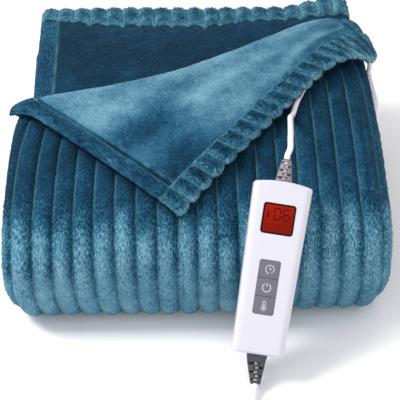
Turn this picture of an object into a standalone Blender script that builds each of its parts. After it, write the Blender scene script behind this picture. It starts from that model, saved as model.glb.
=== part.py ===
"""Electric heated blanket: a ribbed throw folded back and forth, with one corner turned down over the top,
and its hand controller leaning on the front. Metres, +Z up, front towards -Y. The stack rests on Z = 0."""

from math import cos, pi, radians, sin

import bmesh
import bpy
import numpy as np
from mathutils import Matrix, Vector

GAP = 0.0003  # between pieces that touch on the real product

# ---------------------------------------------------------------- cloth sizes
RIBS = 20
RIB_PITCH = 0.0204
RIB_HEIGHT = 0.005
RIB_STEPS = (0.0, 0.27, 0.73)  # columns in one rib, as shares of its pitch
SIDE_COLUMNS = (0.0, 0.75, 1.65)  # columns over a rolled side edge, in ribs from it
VALLEY_RISE = 0.002  # middle of the cloth to a valley between ribs
BACK_RISE = 0.003  # middle of the cloth to its smooth face
FLAT_RISE = 0.005  # middle of the cloth to the pressed underside
EDGE_RISE = 0.0015  # middle of the cloth to either face at a scalloped end
HEM_DEPTH = 0.025
HEM_PUFF = 0.003
SCALLOP = 0.005

# The outer layer's section, from the back of the underside round the front to the back of the top.
# columns: name, length, turn in degrees, steps
OUTER_BENDS = (
    ("underside", 0.262, 0.0, 3),
    ("underside front", 0.055, 0.0, 2),
    ("lower bend", 0.054, 85.0, 4),
    ("front face", 0.030, 10.0, 2),
    ("shoulder", 0.064, 68.0, 4),
    ("top slope", 0.300, 17.0, 0),
    ("back slope", 0.080, 14.0, 0),
)
OUTER_START_Y = 0.165
SECTION_STEP = 0.0005
RIB_FADE = (0.262, 0.322)  # along the section: where the ribs rise out of the flat underside
TOP_STEPS = 6

# Rolled side edges of the outer layer
FLAT_HALF = 0.1705
EDGE_RADIUS = 0.018
EDGE_TURN = radians(75.0)
EDGE_FADE = (0.14, 0.30)  # along the section: where the underside's flat edges begin to roll

# Inner layers, bottom to top. columns: name, left edge, right edge, end towards the back
INNER_LAYERS = (
    ("layer 1", -0.170, 0.168, 0.163),
    ("layer 2", -0.181, 0.180, 0.169),
    ("layer 3", -0.182, 0.184, 0.169),
    ("layer 4", -0.178, 0.185, 0.160),
    ("layer 5", -0.180, 0.183, 0.160),
    ("layer 6", -0.184, 0.185, 0.168),
    ("layer 7", -0.183, 0.186, 0.168),
    ("layer 8", -0.179, 0.184, 0.162),
    ("layer 9", -0.177, 0.181, 0.162),
    ("shown layer", -0.175, 0.1735, 0.172),
)
LAYERS = len(INNER_LAYERS)
LAYER_GAP = 0.0026
LAYER_THICKEST = 0.0105
LAYER_COLUMNS = (0.0, 0.02, 0.2, 0.4, 0.6, 0.8, 0.98, 1.0)  # shares of its width
LAYER_EDGE = 0.5  # thickness left at a layer's side edges
FRONT_NARROWING = 0.010  # of each side of a layer near its front fold
NARROWING_Y = (-0.18, -0.11)
LAYER_STEPS = 4
BEND_STEPS = 4
SHOWN_RIBS = 19
SHOWN_FLARE = 0.0145  # the shown layer widens to the right behind the turned-down corner
SHOWN_FLARE_Y = (0.10, 0.15)
BACK_HEM_DEPTH = 0.030
BACK_SKEW = 0.0186  # the shown layer's back hem runs forward to the right, up to a share of its width
BACK_SKEW_SHARES = (0.35, 0.75)
BACK_LIFT = 0.0125  # the shown layer's back hem stands up at its right end
BACK_LIFT_FROM = (0.78, 0.95)  # shares of its width

# The turned-down corner: where each rib is folded and where it ends, laid flat on the top.
# columns: rib, fold across, fold back, end across, end back, roll radius
CORNER = (
    (0, -0.1885, -0.0140, -0.0195, -0.1580, 0.0063),
    (3, -0.1300, -0.0030, 0.0140, -0.1190, 0.0070),
    (6, -0.0755, 0.0038, 0.0530, -0.0750, 0.0080),
    (9, -0.0180, 0.0200, 0.0890, -0.0357, 0.0090),
    (12, 0.0407, 0.0465, 0.1240, 0.0060, 0.0100),
    (15, 0.1035, 0.0838, 0.1587, 0.0425, 0.0105),
    (18, 0.1585, 0.1115, 0.1800, 0.0610, 0.0092),
    (20, 0.1815, 0.1150, 0.1885, 0.0805, 0.0076),
)
PRESSED = 0.4  # height left to the ribs that face each other under the corner
PRESSED_FROM = (-0.010, 0.010)  # distance inside the corner's edge over which they are pressed
FOLD_STEPS = 5
CORNER_STEPS = 5

# The unevenness of the whole stack
LEAN_X = 0.0025
BOW_Y = 0.004
SAG_Z = 0.025
TUCK_X = 0.035
TUCK_HEIGHT = 0.055

# ---------------------------------------------------------------- hand controller sizes
SLOPE = radians(50.0)  # of the controller from the floor
LEAN = radians(10.2)  # of the controller in its own plane
CONTROLLER_X = 0.0677
CONTROLLER_UP = -0.0650  # its middle, measured up its slope from the origin
SEAT_MARGIN = 0.003  # round the controller, for the ribs that it leans on
SHELL_LENGTH = 0.1685
SHELL_TOP_WIDTH = 0.0575
SHELL_FOOT_WIDTH = 0.0500
SHELL_DEPTH = 0.0230
SHELL_ARCH = 0.0035
SHELL_CORNER = 0.0045
SHELL_SHARPENING = 0.4  # how much of an inset comes off the corner's radius
SHELL_SHARPEST = 0.002
TOP_EDGE_SHARES = (0.6, 0.3, 0.0, -0.3, -0.6)
CORNER_POINTS = 5
# columns: depth below the face, inset of the outline
SHELL_LEVELS = (
    (0.0, 0.0075),
    (0.0006, 0.0040),
    (0.0022, 0.0012),
    (0.0055, 0.0),
    (0.0190, 0.0),
    (0.0218, 0.0012),
    (0.0230, 0.0040),
)
DISPLAY_SIZE = (0.0313, 0.0294)
DISPLAY_AT = (-0.0005, 0.0470)
DISPLAY_DEPTH = 0.0016
DISPLAY_CORNER = 0.0030
KEY_SIZE = (0.0200, 0.0172)
KEY_PAD_AT = (-0.0017, -0.0192)
KEY_PITCH = 0.0175
KEY_POCKET = 0.0030
KEY_FLOOR = 0.0001  # left below a key that is pressed
POCKET_MOUTH = 0.002  # how far the pockets' cutters stand out of the face
KEY_PROUD = 0.0004
KEY_PRESS = 0.0008
KEY_CORNER = 0.0022
KEYS = ("key_timer", "key_power", "key_heat")
ROUND_POINTS = 4

# Strain reliefs. columns: name, start width, end width, start depth, end depth, slots, rings
RELIEFS = (
    ("upper_relief", 0.0165, 0.0092, 0.0125, 0.0088, 4, 11),
    ("lower_relief", 0.0205, 0.0098, 0.0150, 0.0094, 6, 15),
)
RELIEF_SLOT = 0.0007
RING_SIDES = 14  # of each ring of a relief, the neck and the plug
LOWER_RELIEF_END = Vector((0.0498, -0.2838, 0.0086))
LOWER_RELIEF_DIP = radians(18.0)
UPPER_RELIEF_LENGTH = 0.0208

# ---------------------------------------------------------------- cord sizes
CORD = 0.0058
CORD_STEP = 1.7  # diameters between two points of a tube
STRAIGHT_END = 0.004  # of a cord that leaves a relief
# The lead, free from the controller to the top of the stack, as x, y, z
LEAD_FREE = (
    (0.0900, -0.1330, 0.1755),
    (0.0913, -0.1240, 0.1783),
    (0.0928, -0.1100, 0.1783),
    (0.0945, -0.0930, 0.1740),
    (0.0965, -0.0740, 0.1675),
    (0.0985, -0.0560, 0.1615),
)
# The lead where it lies on the outer layer. columns: across, back, rise above the middle
LEAD_LAID = (
    (0.1012, -0.0380, 0.0116),
    (0.1048, -0.0255, 0.0110),
    (0.1092, -0.0135, 0.0107),
    (0.1145, -0.0015, 0.0106),
    (0.1205, 0.0110, 0.0105),
    (0.1272, 0.0245, 0.0104),
    (0.1358, 0.0375, 0.0102),
    (0.1472, 0.0490, 0.0098),
    (0.1608, 0.0566, 0.0092),
    (0.1750, 0.0608, 0.0088),
)
# and round the top's right edge, as x, y, z
LEAD_DOWN = (
    (0.1848, 0.0624, 0.1609),
    (0.1918, 0.0640, 0.1580),
    (0.1973, 0.0660, 0.1529),
    (0.2000, 0.0677, 0.1467),
    (0.2004, 0.0687, 0.1413),
    (0.1999, 0.0690, 0.1375),
)
CONNECTOR_SIZE = (0.0167, 0.0640, 0.0325)
CONNECTOR_AT = Vector((0.19725, 0.0540, 0.1118))
CONNECTOR_ROUND = 0.0060
# columns: share of its thickness from the cloth outwards, inset of the outline
CONNECTOR_LEVELS = ((0.0, 0.003), (0.15, 0.0008), (0.3, 0.0), (0.7, 0.0), (0.85, 0.0012), (1.0, 0.0045))
NECK_SIZE = (0.0086, 0.0080, 0.0040)  # width, top width, height
NECK_AT = (0.0025, 0.0150)  # across and back from the connector's middle

# The mains cord on the floor: a short run, a coil of what the view does not show, and the plug
MAINS_RUN = (
    (0.0480, -0.2950, 0.0051),
    (0.0465, -0.3070, 0.0033),
    (0.0480, -0.3240, 0.0031),
    (0.0535, -0.3370, 0.0031),
    (0.0590, -0.3472, 0.0031),
)
COIL_CENTRE = (0.0190, -0.3700)
COIL_MIDDLE = 0.0340
COIL_TURNS_WIDE = 3
COIL_TURNS_HIGH = 3
COIL_SIDES = 36
COIL_SOFTENING = 0.3  # of its edges, in cord diameters
TAIL_RUN = (
    (0.0032, -0.4135, 0.0031),
    (-0.0100, -0.4088, 0.0031),
    (-0.0215, -0.4035, 0.0042),
    (-0.0310, -0.3985, 0.0062),
)
PLUG_AT = Vector((-0.0440, -0.3868, 0.0082))
PLUG_AHEAD = Vector((-0.72, 0.694, 0.0))
# columns: along the plug, width, height
PLUG_RINGS = (
    (0.0, 0.0085, 0.0085),
    (0.010, 0.0098, 0.0098),
    (0.014, 0.0190, 0.0140),
    (0.020, 0.0245, 0.0158),
    (0.034, 0.0250, 0.0160),
    (0.036, 0.0235, 0.0146),
)
BLADE_SIZE = (0.0170, 0.0063, 0.0015)
BLADE_SPREAD = 0.0127
BLADE_CORNER = 0.0015

COLOURS = {
    "cloth": (0.045, 0.16, 0.25),
    "shell": (0.83, 0.82, 0.88),
    "display": (0.30, 0.008, 0.004),
    "keys": (0.16, 0.155, 0.18),
    "upper_relief": (0.30, 0.29, 0.31),
    "lower_relief": (0.07, 0.07, 0.085),
    "cord": (0.85, 0.84, 0.88),
    "blades": (0.60, 0.58, 0.52),
}


# ---------------------------------------------------------------- curves
def spline(knots, values, at):
    """Natural cubic curve through the values at the knots, read at the given places."""
    knots = np.asarray(knots, float)
    values = np.asarray(values, float)
    at = np.asarray(at, float)
    step = np.diff(knots)
    rise = np.diff(values) / step
    count = len(knots)
    system = np.eye(count)
    right = np.zeros(count)
    for i in range(1, count - 1):
        system[i, i - 1 : i + 2] = step[i - 1], 2 * (step[i - 1] + step[i]), step[i]
        right[i] = 6 * (rise[i] - rise[i - 1])
    bend = np.linalg.solve(system, right)
    i = np.clip(np.searchsorted(knots, at, side="right") - 1, 0, count - 2)
    low = at - knots[i]
    high = knots[i + 1] - at
    curve = (bend[i] * high**3 + bend[i + 1] * low**3) / (6 * step[i])
    line = (values[i] / step[i] - bend[i] * step[i] / 6) * high
    return curve + line + (values[i + 1] / step[i] - bend[i + 1] * step[i] / 6) * low


def smooth_route(points, spacing):
    """Points at an even spacing on the smooth curve through a route's own points."""
    points = np.array([tuple(p) for p in points])
    chord = np.concatenate([[0.0], np.cumsum(np.linalg.norm(np.diff(points, axis=0), axis=1))])
    fine = np.linspace(0.0, chord[-1], 2000)
    curve = np.stack([spline(chord, points[:, i], fine) for i in range(3)], -1)
    run = np.concatenate([[0.0], np.cumsum(np.linalg.norm(np.diff(curve, axis=0), axis=1))])
    places = np.linspace(0.0, run[-1], max(2, round(run[-1] / spacing)) + 1)
    return np.stack([np.interp(places, run, curve[:, i]) for i in range(3)], -1)


def ease(low, high, at):
    """0 below low, 1 above high, and smooth between."""
    share = np.clip((np.asarray(at, float) - low) / (high - low), 0.0, 1.0)
    return share * share * (3.0 - 2.0 * share)


# ---------------------------------------------------------------- outer layer
def outer_section():
    """Arc length, back position, height and heading along the middle of the outer layer."""
    heading = [0.0]
    for _, length, turn, _ in OUTER_BENDS:
        count = round(length / SECTION_STEP)
        start = heading[-1]
        heading.extend(start + radians(turn) * (i + 1) / count for i in range(count))
    heading = np.array(heading)
    middle = 0.5 * (heading[1:] + heading[:-1])
    back = OUTER_START_Y + np.concatenate([[0.0], np.cumsum(-np.cos(middle) * SECTION_STEP)])
    height = FLAT_RISE + np.concatenate([[0.0], np.cumsum(np.sin(middle) * SECTION_STEP)])
    return np.arange(len(heading)) * SECTION_STEP, back, height, heading


SECTION_S, SECTION_Y, SECTION_Z, SECTION_TURN = outer_section()
FRONT_INDEX = int(np.argmin(SECTION_Y))
CORNER_TABLE = np.array(CORNER)


def section_at(along):
    """Position and outward normal of the outer layer's middle in its section, at an arc length."""
    back = np.interp(along, SECTION_S, SECTION_Y)
    height = np.interp(along, SECTION_S, SECTION_Z)
    turn = np.interp(along, SECTION_S, SECTION_TURN)
    return back, height, -np.sin(turn), -np.cos(turn)


def along_top(back):
    """Arc length at which the top of the outer layer is this far back."""
    return np.interp(back, SECTION_Y[FRONT_INDEX:], SECTION_S[FRONT_INDEX:])


def outer_point(across, along, rise=0.0, inner_across=None):
    """Point and ribbed-side normal on the outer layer, rolled down at its side edges.

    across is measured over the roll and along over the section. rise is the height above the middle.
    At the back of the underside the edges are flat and as wide as inner_across."""
    back, height, normal_y, normal_z = section_at(along)
    past = np.maximum(np.abs(across) - FLAT_HALF, 0.0)
    turn = np.minimum(past / EDGE_RADIUS, EDGE_TURN)
    straight = past - turn * EDGE_RADIUS
    side = np.sign(across)
    flat = np.minimum(np.abs(across), FLAT_HALF)
    x = side * (flat + EDGE_RADIUS * np.sin(turn) + straight * np.cos(turn))
    drop = EDGE_RADIUS * (1 - np.cos(turn)) + straight * np.sin(turn)
    if inner_across is not None:
        rolled = ease(*EDGE_FADE, along)
        x = inner_across * (1 - rolled) + x * rolled
        drop = drop * rolled
        turn = turn * rolled
    normal = np.stack([side * np.sin(turn), np.cos(turn) * normal_y, np.cos(turn) * normal_z], -1)
    point = np.stack([x, back - drop * normal_y, height - drop * normal_z], -1)
    return point + normal * np.asarray(rise)[..., None], normal


# ---------------------------------------------------------------- inner layers
def shelf(back):
    """Heights between which the inner layers are shared out: above the underside and below the top."""
    _, top, _, _ = section_at(along_top(back))
    return FLAT_RISE + BACK_RISE + 0.5 * LAYER_GAP, top - BACK_RISE - 0.5 * LAYER_GAP


def layer_height(layer, back):
    """Height of an inner layer's middle; layer 0 is the underside."""
    low, high = shelf(back)
    if layer == 0:
        return FLAT_RISE + 0.0 * low
    return low + (high - low) * (layer - 0.5) / LAYERS


def layer_thickness(back):
    low, high = shelf(back)
    return np.minimum((high - low) / LAYERS - LAYER_GAP, LAYER_THICKEST)


def front_centre(height, reach):
    """Furthest forward that a fold of this reach can lie at this height, clear of the outer layer."""
    for back in np.arange(SECTION_Y.min(), 0.0, SECTION_STEP):
        away = np.hypot(SECTION_Y - back, SECTION_Z - height)
        if away.min() > reach:
            return float(back)
    return 0.0


def front_end(layer):
    """Centre of the front fold that this layer shares with its neighbour."""
    lower = layer - 1 if layer % 2 == 0 else layer
    centre = SECTION_Y.min() + 0.03
    for _ in range(4):
        low = layer_height(lower, centre)
        high = layer_height(lower + 1, centre)
        reach = 0.5 * (high - low) + 0.5 * layer_thickness(centre) + BACK_RISE + LAYER_GAP
        centre = front_centre(0.5 * (low + high), reach)
    return centre


def bend_points(low, high, back, side):
    """Half circle between two layers at the given place; side is 1 at the back and -1 at the front."""
    radius = 0.5 * (high - low)
    turns = [pi * i / BEND_STEPS for i in range(1, BEND_STEPS)]
    return [(back + side * radius * sin(t), 0.5 * (low + high) - radius * cos(t)) for t in turns]


def inner_section():
    """Stations of the folded inner layers, from the shown layer's back hem down to the underside.

    Each is (back, height, left, right, thickness)."""
    stations = []
    for layer in range(LAYERS, 0, -1):
        _, left, right, far = INNER_LAYERS[layer - 1]
        near = front_end(layer)
        first, last = (far, near) if layer % 2 == 0 else (near, far)
        for back in np.linspace(first, last, LAYER_STEPS + 1):
            thickness = float(layer_thickness(back))
            stations.append((back, float(layer_height(layer, back)), left, right, thickness))
        side = -1 if layer % 2 == 0 else 1
        low = float(layer_height(layer - 1, last))
        high = float(layer_height(layer, last))
        _, next_left, next_right, _ = INNER_LAYERS[max(layer - 2, 0)]
        middle = (0.5 * (left + next_left), 0.5 * (right + next_right), float(layer_thickness(last)))
        stations.extend((*place, *middle) for place in reversed(bend_points(low, high, last, side)))
    return stations


def settle(points):
    """The soft lean, bow, sag and tuck of the whole stack. Height 0 stays at 0."""
    x, y, z = points[..., 0], points[..., 1], points[..., 2]
    lean = LEAN_X * np.sin(9.0 * y + 1.0) * ease(0.0, 0.06, z)
    bow = BOW_Y * (0.4 - np.cos(7.0 * (x + 0.03))) * (1.0 - ease(-0.10, 0.0, y))
    low_side = ease(0.05, 0.20, -x) + 0.5 * ease(0.12, 0.20, x)
    tuck = 1.0 - TUCK_X * (1.0 - ease(0.0, TUCK_HEIGHT, z))
    return np.stack([x * tuck + lean, y + bow, z * (1.0 - SAG_Z * low_side)], -1)


# ---------------------------------------------------------------- rows of the cloth
def lobe(ribs_across):
    """Rounded section of a rib: 0 in the valleys and 1 over the crown."""
    shoulder = sin(pi * RIB_STEPS[1])
    return np.minimum(np.sin(pi * np.mod(ribs_across, 1.0)) / shoulder, 1.0) ** 0.6


def rib_columns(ribs):
    """Rib coordinates of the columns over a ribbed width: valleys and shoulders."""
    return np.array([i + step for i in range(ribs) for step in RIB_STEPS] + [float(ribs)])


def smooth_columns(spacing):
    """Rib coordinates of the columns over a smooth face, with more at the rolled side edges."""
    inside = np.arange(5.0 if spacing > 1 else 3.0, RIBS - 2.0, spacing)
    side = np.array(SIDE_COLUMNS)
    return np.concatenate([side, inside, RIBS - side[::-1]])


def make_row(columns, point, normal, rise):
    """One row of one face: its columns as shares of the width, and its points."""
    return columns / columns[-1], settle(point + normal * np.asarray(rise)[..., None])


def shown_flare(back, height):
    """Extra width on the right of the shown layer, behind the turned-down corner."""
    above = height - float(layer_height(LAYERS, back))
    return SHOWN_FLARE * float(ease(*SHOWN_FLARE_Y, back) * ease(-0.5 * LAYER_THICKEST, 0.0, above))


def inner_rows(stations):
    """Rows of both faces of the inner layers, without the shown layer's hem."""
    line = np.array(stations)
    ahead = np.gradient(line[:, :2], axis=0)
    ahead /= np.linalg.norm(ahead, axis=1)[:, None]
    columns = np.array(LAYER_COLUMNS)
    edge = (columns == 0.0) | (columns == 1.0)
    ribbed, smooth = [], []
    for (back, height, left, right, thickness), (ahead_y, ahead_z) in zip(stations, ahead):
        narrower = FRONT_NARROWING * float(1.0 - ease(*NARROWING_Y, back))
        start = left + narrower
        width = right + shown_flare(back, height) - narrower - start
        point = np.stack([start + width * columns, 0 * columns + back, 0 * columns + height], -1)
        normal = np.broadcast_to([0.0, -ahead_z, ahead_y], point.shape)
        half = 0.5 * thickness * np.where(edge, LAYER_EDGE, 1.0)
        ribbed.append(make_row(columns, point, normal, half))
        smooth.append(make_row(columns, point, normal, -half))
    return ribbed, smooth


def shown_hem_rows():
    """Rows of both faces of the shown layer's scalloped back hem, from its free end inwards."""
    columns = rib_columns(SHOWN_RIBS)
    share = columns / SHOWN_RIBS
    bump = lobe(columns)
    _, left, right, far = INNER_LAYERS[-1]
    half = 0.5 * float(layer_thickness(far))
    even, most = BACK_SKEW_SHARES
    far = far + BACK_SKEW * (even - np.minimum(share, most))
    ribbed, smooth = [], []
    for depth, puff in ((0.0, 0.0), (0.25, 1.0), (0.85, 1.0), (1.0, 0.0)):
        back = far + (BACK_HEM_DEPTH + SCALLOP * bump) * (1.0 - depth)
        lift = BACK_LIFT * ease(*BACK_LIFT_FROM, share) * (1.0 - 0.6 * depth)
        wide = right + SHOWN_FLARE * ease(*SHOWN_FLARE_Y, back)
        point = np.stack([left + (wide - left) * share, back, layer_height(LAYERS, back) + lift], -1)
        normal = np.broadcast_to([0.0, 0.0, -1.0], point.shape)
        rise = np.full(len(columns), EDGE_RISE if depth == 0.0 else half)
        ribbed.append(make_row(columns, point, normal, rise))
        smooth.append(make_row(columns, point, normal, -rise - puff * HEM_PUFF * bump))
    return ribbed, smooth


def under_corner(across, along):
    """1 where the turned-down corner lies over this place on the top, 0 in the open."""
    edge_across = np.append(CORNER_TABLE[0, 1], CORNER_TABLE[:, 3])
    edge_back = np.append(CORNER_TABLE[0, 2], CORNER_TABLE[:, 4])
    past_edge = along - along_top(np.interp(across, edge_across, edge_back))
    return ease(*PRESSED_FROM, past_edge)


def outer_rise(columns, along):
    """How far the ribbed face stands off the middle: ribs that fade into the pressed underside."""
    ribbed = ease(*RIB_FADE, along)
    across = (columns - 0.5 * RIBS) * RIB_PITCH
    height = RIB_HEIGHT * (1 - (1 - PRESSED) * under_corner(across, along))
    rise = FLAT_RISE * (1 - ribbed) + (VALLEY_RISE + height * lobe(columns)) * ribbed
    _, above_floor, _, normal_z = section_at(along)
    return np.where(normal_z < 0, np.minimum(rise, above_floor / np.maximum(-normal_z, 0.1)), rise)


def outer_row(columns, along, ribbed_face, fold_across=0.0, gathered=0.0):
    """One row of the outer layer, at an arc length for each column, gathered in towards the fold."""
    _, left, right, _ = INNER_LAYERS[0]
    inner = left + (right - left) * columns / RIBS
    across = (columns - 0.5 * RIBS) * RIB_PITCH
    across = across + (fold_across - across) * gathered
    point, normal = outer_point(across, along, 0.0 * columns, inner)
    rise = outer_rise(columns, along) if ribbed_face else np.full(len(columns), -BACK_RISE)
    return make_row(columns, point, normal, rise)


def outer_rows():
    """Rows of both faces from the back of the underside, round the front, to the start of the fold."""
    coarse = smooth_columns(5)
    fine = rib_columns(RIBS)
    medium = smooth_columns(1)
    places = [0.0]
    for _, length, _, steps in OUTER_BENDS:
        low = places[-1]
        places.extend(low + length * (i + 1) / steps for i in range(steps))
    ribbed, smooth = [], []
    for place in places:
        flat = place < RIB_FADE[0] - SECTION_STEP
        for store, columns, face in ((ribbed, fine, True), (smooth, medium, False)):
            columns = coarse if flat else columns
            store.append(outer_row(columns, np.full(len(columns), place), face))
    for i in range(1, TOP_STEPS + 1):
        for store, columns, face in ((ribbed, fine, True), (smooth, medium, False)):
            fold, _, _ = corner(columns)
            share = i / TOP_STEPS
            along = places[-1] + (fold[:, 1] - places[-1]) * share
            store.append(outer_row(columns, along, face, fold[:, 0], share**3))
    return ribbed, smooth


# ---------------------------------------------------------------- the turned-down corner
def corner(columns):
    """Fold point, end point and roll radius for each rib coordinate."""
    rib = CORNER_TABLE[:, 0]
    read = [spline(rib, CORNER_TABLE[:, i], columns) for i in range(1, 6)]
    fold = np.stack([read[0], along_top(read[1])], -1)
    end = np.stack([read[2], along_top(read[3])], -1)
    return fold, end, read[4]


def fold_row(columns, turn, ribbed_face):
    """A row part-way round the diagonal fold. The ribbed face is inside the roll."""
    fold, _, radius = corner(columns)
    along_fold = np.gradient(fold, columns, axis=0)
    along_fold /= np.linalg.norm(along_fold, axis=1)[:, None]
    out = np.stack([-along_fold[:, 1], along_fold[:, 0]], -1)
    place = fold + out * (radius * np.sin(turn))[:, None]
    point, up = outer_point(place[:, 0], place[:, 1], radius * (1 - np.cos(turn)))
    here, _ = outer_point(place[:, 0], place[:, 1], 0 * radius)
    near = place + 1e-4 * out
    ahead, _ = outer_point(near[:, 0], near[:, 1], 0 * radius)
    outward = (ahead - here) / np.linalg.norm(ahead - here, axis=1)[:, None]
    normal = np.cos(turn) * up - np.sin(turn) * outward
    pressed = 1 - (1 - PRESSED) * ease(0.0, 0.5 * pi, turn)
    rib = VALLEY_RISE + RIB_HEIGHT * lobe(columns) * pressed
    return make_row(columns, point, normal, rib if ribbed_face else np.full(len(rib), -BACK_RISE))


def corner_row(columns, share, into_hem, puff, ribbed_face):
    """A row of the turned-down corner. share runs from the fold to the hem, into_hem through the hem."""
    fold, end, radius = corner(columns)
    span = end - fold
    length = np.linalg.norm(span, axis=1)
    hem = np.minimum(HEM_DEPTH / length, 0.8)
    bump = lobe(columns)
    reach = share * (1 - hem) + into_hem * (hem + SCALLOP * bump / length)
    place = fold + span * reach[:, None]
    point, up = outer_point(place[:, 0], place[:, 1], 2 * radius)
    if ribbed_face:
        rise = VALLEY_RISE + PRESSED * RIB_HEIGHT * bump
    else:
        rise = -BACK_RISE - puff * HEM_PUFF * bump
    if into_hem == 1.0:
        rise = np.sign(rise) * EDGE_RISE
    return make_row(columns, point, -up, rise)


def corner_rows():
    """Rows of both faces round the diagonal fold and over the turned-down corner to its scalloped end."""
    fine = rib_columns(RIBS)
    medium = smooth_columns(1)
    ribbed, smooth = [], []
    for i in range(1, FOLD_STEPS + 1):
        ribbed.append(fold_row(fine, pi * i / FOLD_STEPS, True))
        smooth.append(fold_row(medium, pi * i / FOLD_STEPS, False))
    for i in range(1, CORNER_STEPS + 1):
        ribbed.append(corner_row(fine, i / CORNER_STEPS, 0.0, 0.0, True))
        smooth.append(corner_row(medium, i / CORNER_STEPS, 0.0, 0.0, False))
    for into_hem, puff in ((0.15, 1.0), (0.75, 1.0), (1.0, 0.0)):
        ribbed.append(corner_row(fine, 1.0, into_hem, puff, True))
        smooth.append(corner_row(fine, 1.0, into_hem, puff, False))
    return ribbed, smooth


# ---------------------------------------------------------------- mesh building
def stitch(first, second, shares_a, shares_b):
    """Triangles between two rows of points whose columns need not match."""
    faces = []
    i = j = 0
    while i < len(first) - 1 or j < len(second) - 1:
        step_a = shares_a[i + 1] if i < len(first) - 1 else 2.0
        step_b = shares_b[j + 1] if j < len(second) - 1 else 2.0
        if step_a <= step_b:
            faces.append((first[i], first[i + 1], second[j]))
            i += 1
        else:
            faces.append((first[i], second[j + 1], second[j]))
            j += 1
    return faces


def cloth_solid(name, ribbed, smooth):
    """One closed solid from the rows of its two faces, joined along the sides and at both ends."""
    mesh = bmesh.new()
    sides = []
    for rows in (ribbed, smooth):
        sides.append([([mesh.verts.new(p) for p in points], shares) for shares, points in rows])
    faces = []
    for rows in sides:
        for (a, shares_a), (b, shares_b) in zip(rows, rows[1:]):
            faces.extend(stitch(a, b, shares_a, shares_b))
    for end in (0, -1):
        (a, shares_a), (b, shares_b) = sides[0][end], sides[1][end]
        faces.extend(stitch(a, b, shares_a, shares_b))
    for edge in (0, -1):
        for i in range(len(ribbed) - 1):
            near_r, far_r = sides[0][i][0][edge], sides[0][i + 1][0][edge]
            near_s, far_s = sides[1][i][0][edge], sides[1][i + 1][0][edge]
            faces.extend([(near_r, far_r, near_s), (far_r, far_s, near_s)])
    for face in faces:
        mesh.faces.new(face)
    return finish_mesh(name, mesh)


def finish_mesh(name, mesh):
    """An object in the scene from a bmesh whose faces are first turned outwards."""
    bmesh.ops.recalc_face_normals(mesh, faces=mesh.faces)
    data = bpy.data.meshes.new(name)
    mesh.to_mesh(data)
    mesh.free()
    piece = bpy.data.objects.new(name, data)
    bpy.context.scene.collection.objects.link(piece)
    return piece


def loft(name, loops):
    """A closed solid through loops of equally many points, with flat ends."""
    mesh = bmesh.new()
    rings = [[mesh.verts.new(p) for p in loop] for loop in loops]
    for a, b in zip(rings, rings[1:]):
        for i in range(len(a)):
            mesh.faces.new((a[i - 1], a[i], b[i], b[i - 1]))
    mesh.faces.new(rings[0])
    mesh.faces.new(rings[-1])
    return finish_mesh(name, mesh)


def rounded_outline(corners, radius, points):
    """A closed outline through corners, each (x, y), rounded by arcs that touch both sides."""
    outline = []
    for i, corner_at in enumerate(corners):
        here = Vector(corner_at)
        before = (Vector(corners[i - 1]) - here).normalized()
        after = (Vector(corners[(i + 1) % len(corners)]) - here).normalized()
        half = 0.5 * before.angle(after)
        centre = here + (before + after).normalized() * radius / sin(half)
        start = here + before * radius * cos(half) / sin(half) - centre
        stop = here + after * radius * cos(half) / sin(half) - centre
        for j in range(points + 1):
            spoke = start.lerp(stop, j / points).normalized() * radius
            outline.append(tuple(centre + spoke))
    return outline


def box_corners(width, height, at=(0.0, 0.0)):
    x, y = at
    half_x, half_y = 0.5 * width, 0.5 * height
    left, right, front, back = x - half_x, x + half_x, y - half_y, y + half_y
    return [(left, front), (right, front), (right, back), (left, back)]


def slab(name, outline, low, high):
    """A flat plate with this outline between two heights."""
    return loft(name, [[(x, y, z) for x, y in outline] for z in (low, high)])


def paint(piece, colour, roughness, metallic=0.0):
    """Give the piece its own Principled material."""
    material = bpy.data.materials.new(piece.name)
    material.use_nodes = True
    shader = material.node_tree.nodes["Principled BSDF"]
    shader.inputs["Base Color"].default_value = (*COLOURS[colour], 1.0)
    shader.inputs["Roughness"].default_value = roughness
    shader.inputs["Metallic"].default_value = metallic
    piece.data.materials.append(material)


def smooth_shade(piece, angle):
    piece.data.shade_smooth()
    piece.data.set_sharp_from_angle(angle=radians(angle))


def clear_scene():
    for piece in list(bpy.data.objects):
        bpy.data.objects.remove(piece, do_unlink=True)


# ---------------------------------------------------------------- cloth
def build_cloth():
    """The blanket, and all the points of its faces for the pieces that lie against it."""
    inner_r, inner_s = inner_rows(inner_section()[1:])
    hem_r, hem_s = shown_hem_rows()
    outer_r, outer_s = outer_rows()
    corner_r, corner_s = corner_rows()
    ribbed = hem_r + inner_r + outer_r + corner_r
    smooth = hem_s + inner_s + outer_s + corner_s
    cloth = cloth_solid("blanket_cloth", ribbed, smooth)
    paint(cloth, "cloth", 0.95)
    return np.concatenate([points for _, points in ribbed + smooth])


# ---------------------------------------------------------------- hand controller
def controller_frame(cloth_points):
    """Matrix of the controller: X across it, Y up its length, Z out of its face, origin mid-face."""
    out = Vector((0.0, -sin(SLOPE), cos(SLOPE)))
    up_slope = Vector((0.0, cos(SLOPE), sin(SLOPE)))
    ahead = up_slope * cos(LEAN) + Vector((1.0, 0.0, 0.0)) * sin(LEAN)
    across = ahead.cross(out)
    middle = Vector((CONTROLLER_X, 0.0, 0.0)) + up_slope * CONTROLLER_UP
    offset = cloth_points - np.array(middle)
    beside = np.abs(offset @ np.array(across)) < 0.5 * SHELL_TOP_WIDTH + SEAT_MARGIN
    beside &= np.abs(offset @ np.array(ahead)) < 0.5 * SHELL_LENGTH + SEAT_MARGIN
    seat = float((offset @ np.array(out))[beside].max())
    origin = middle + out * (seat + GAP + SHELL_DEPTH)
    frame = Matrix((across, ahead, out)).transposed().to_4x4()
    frame.translation = origin
    return frame


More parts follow.
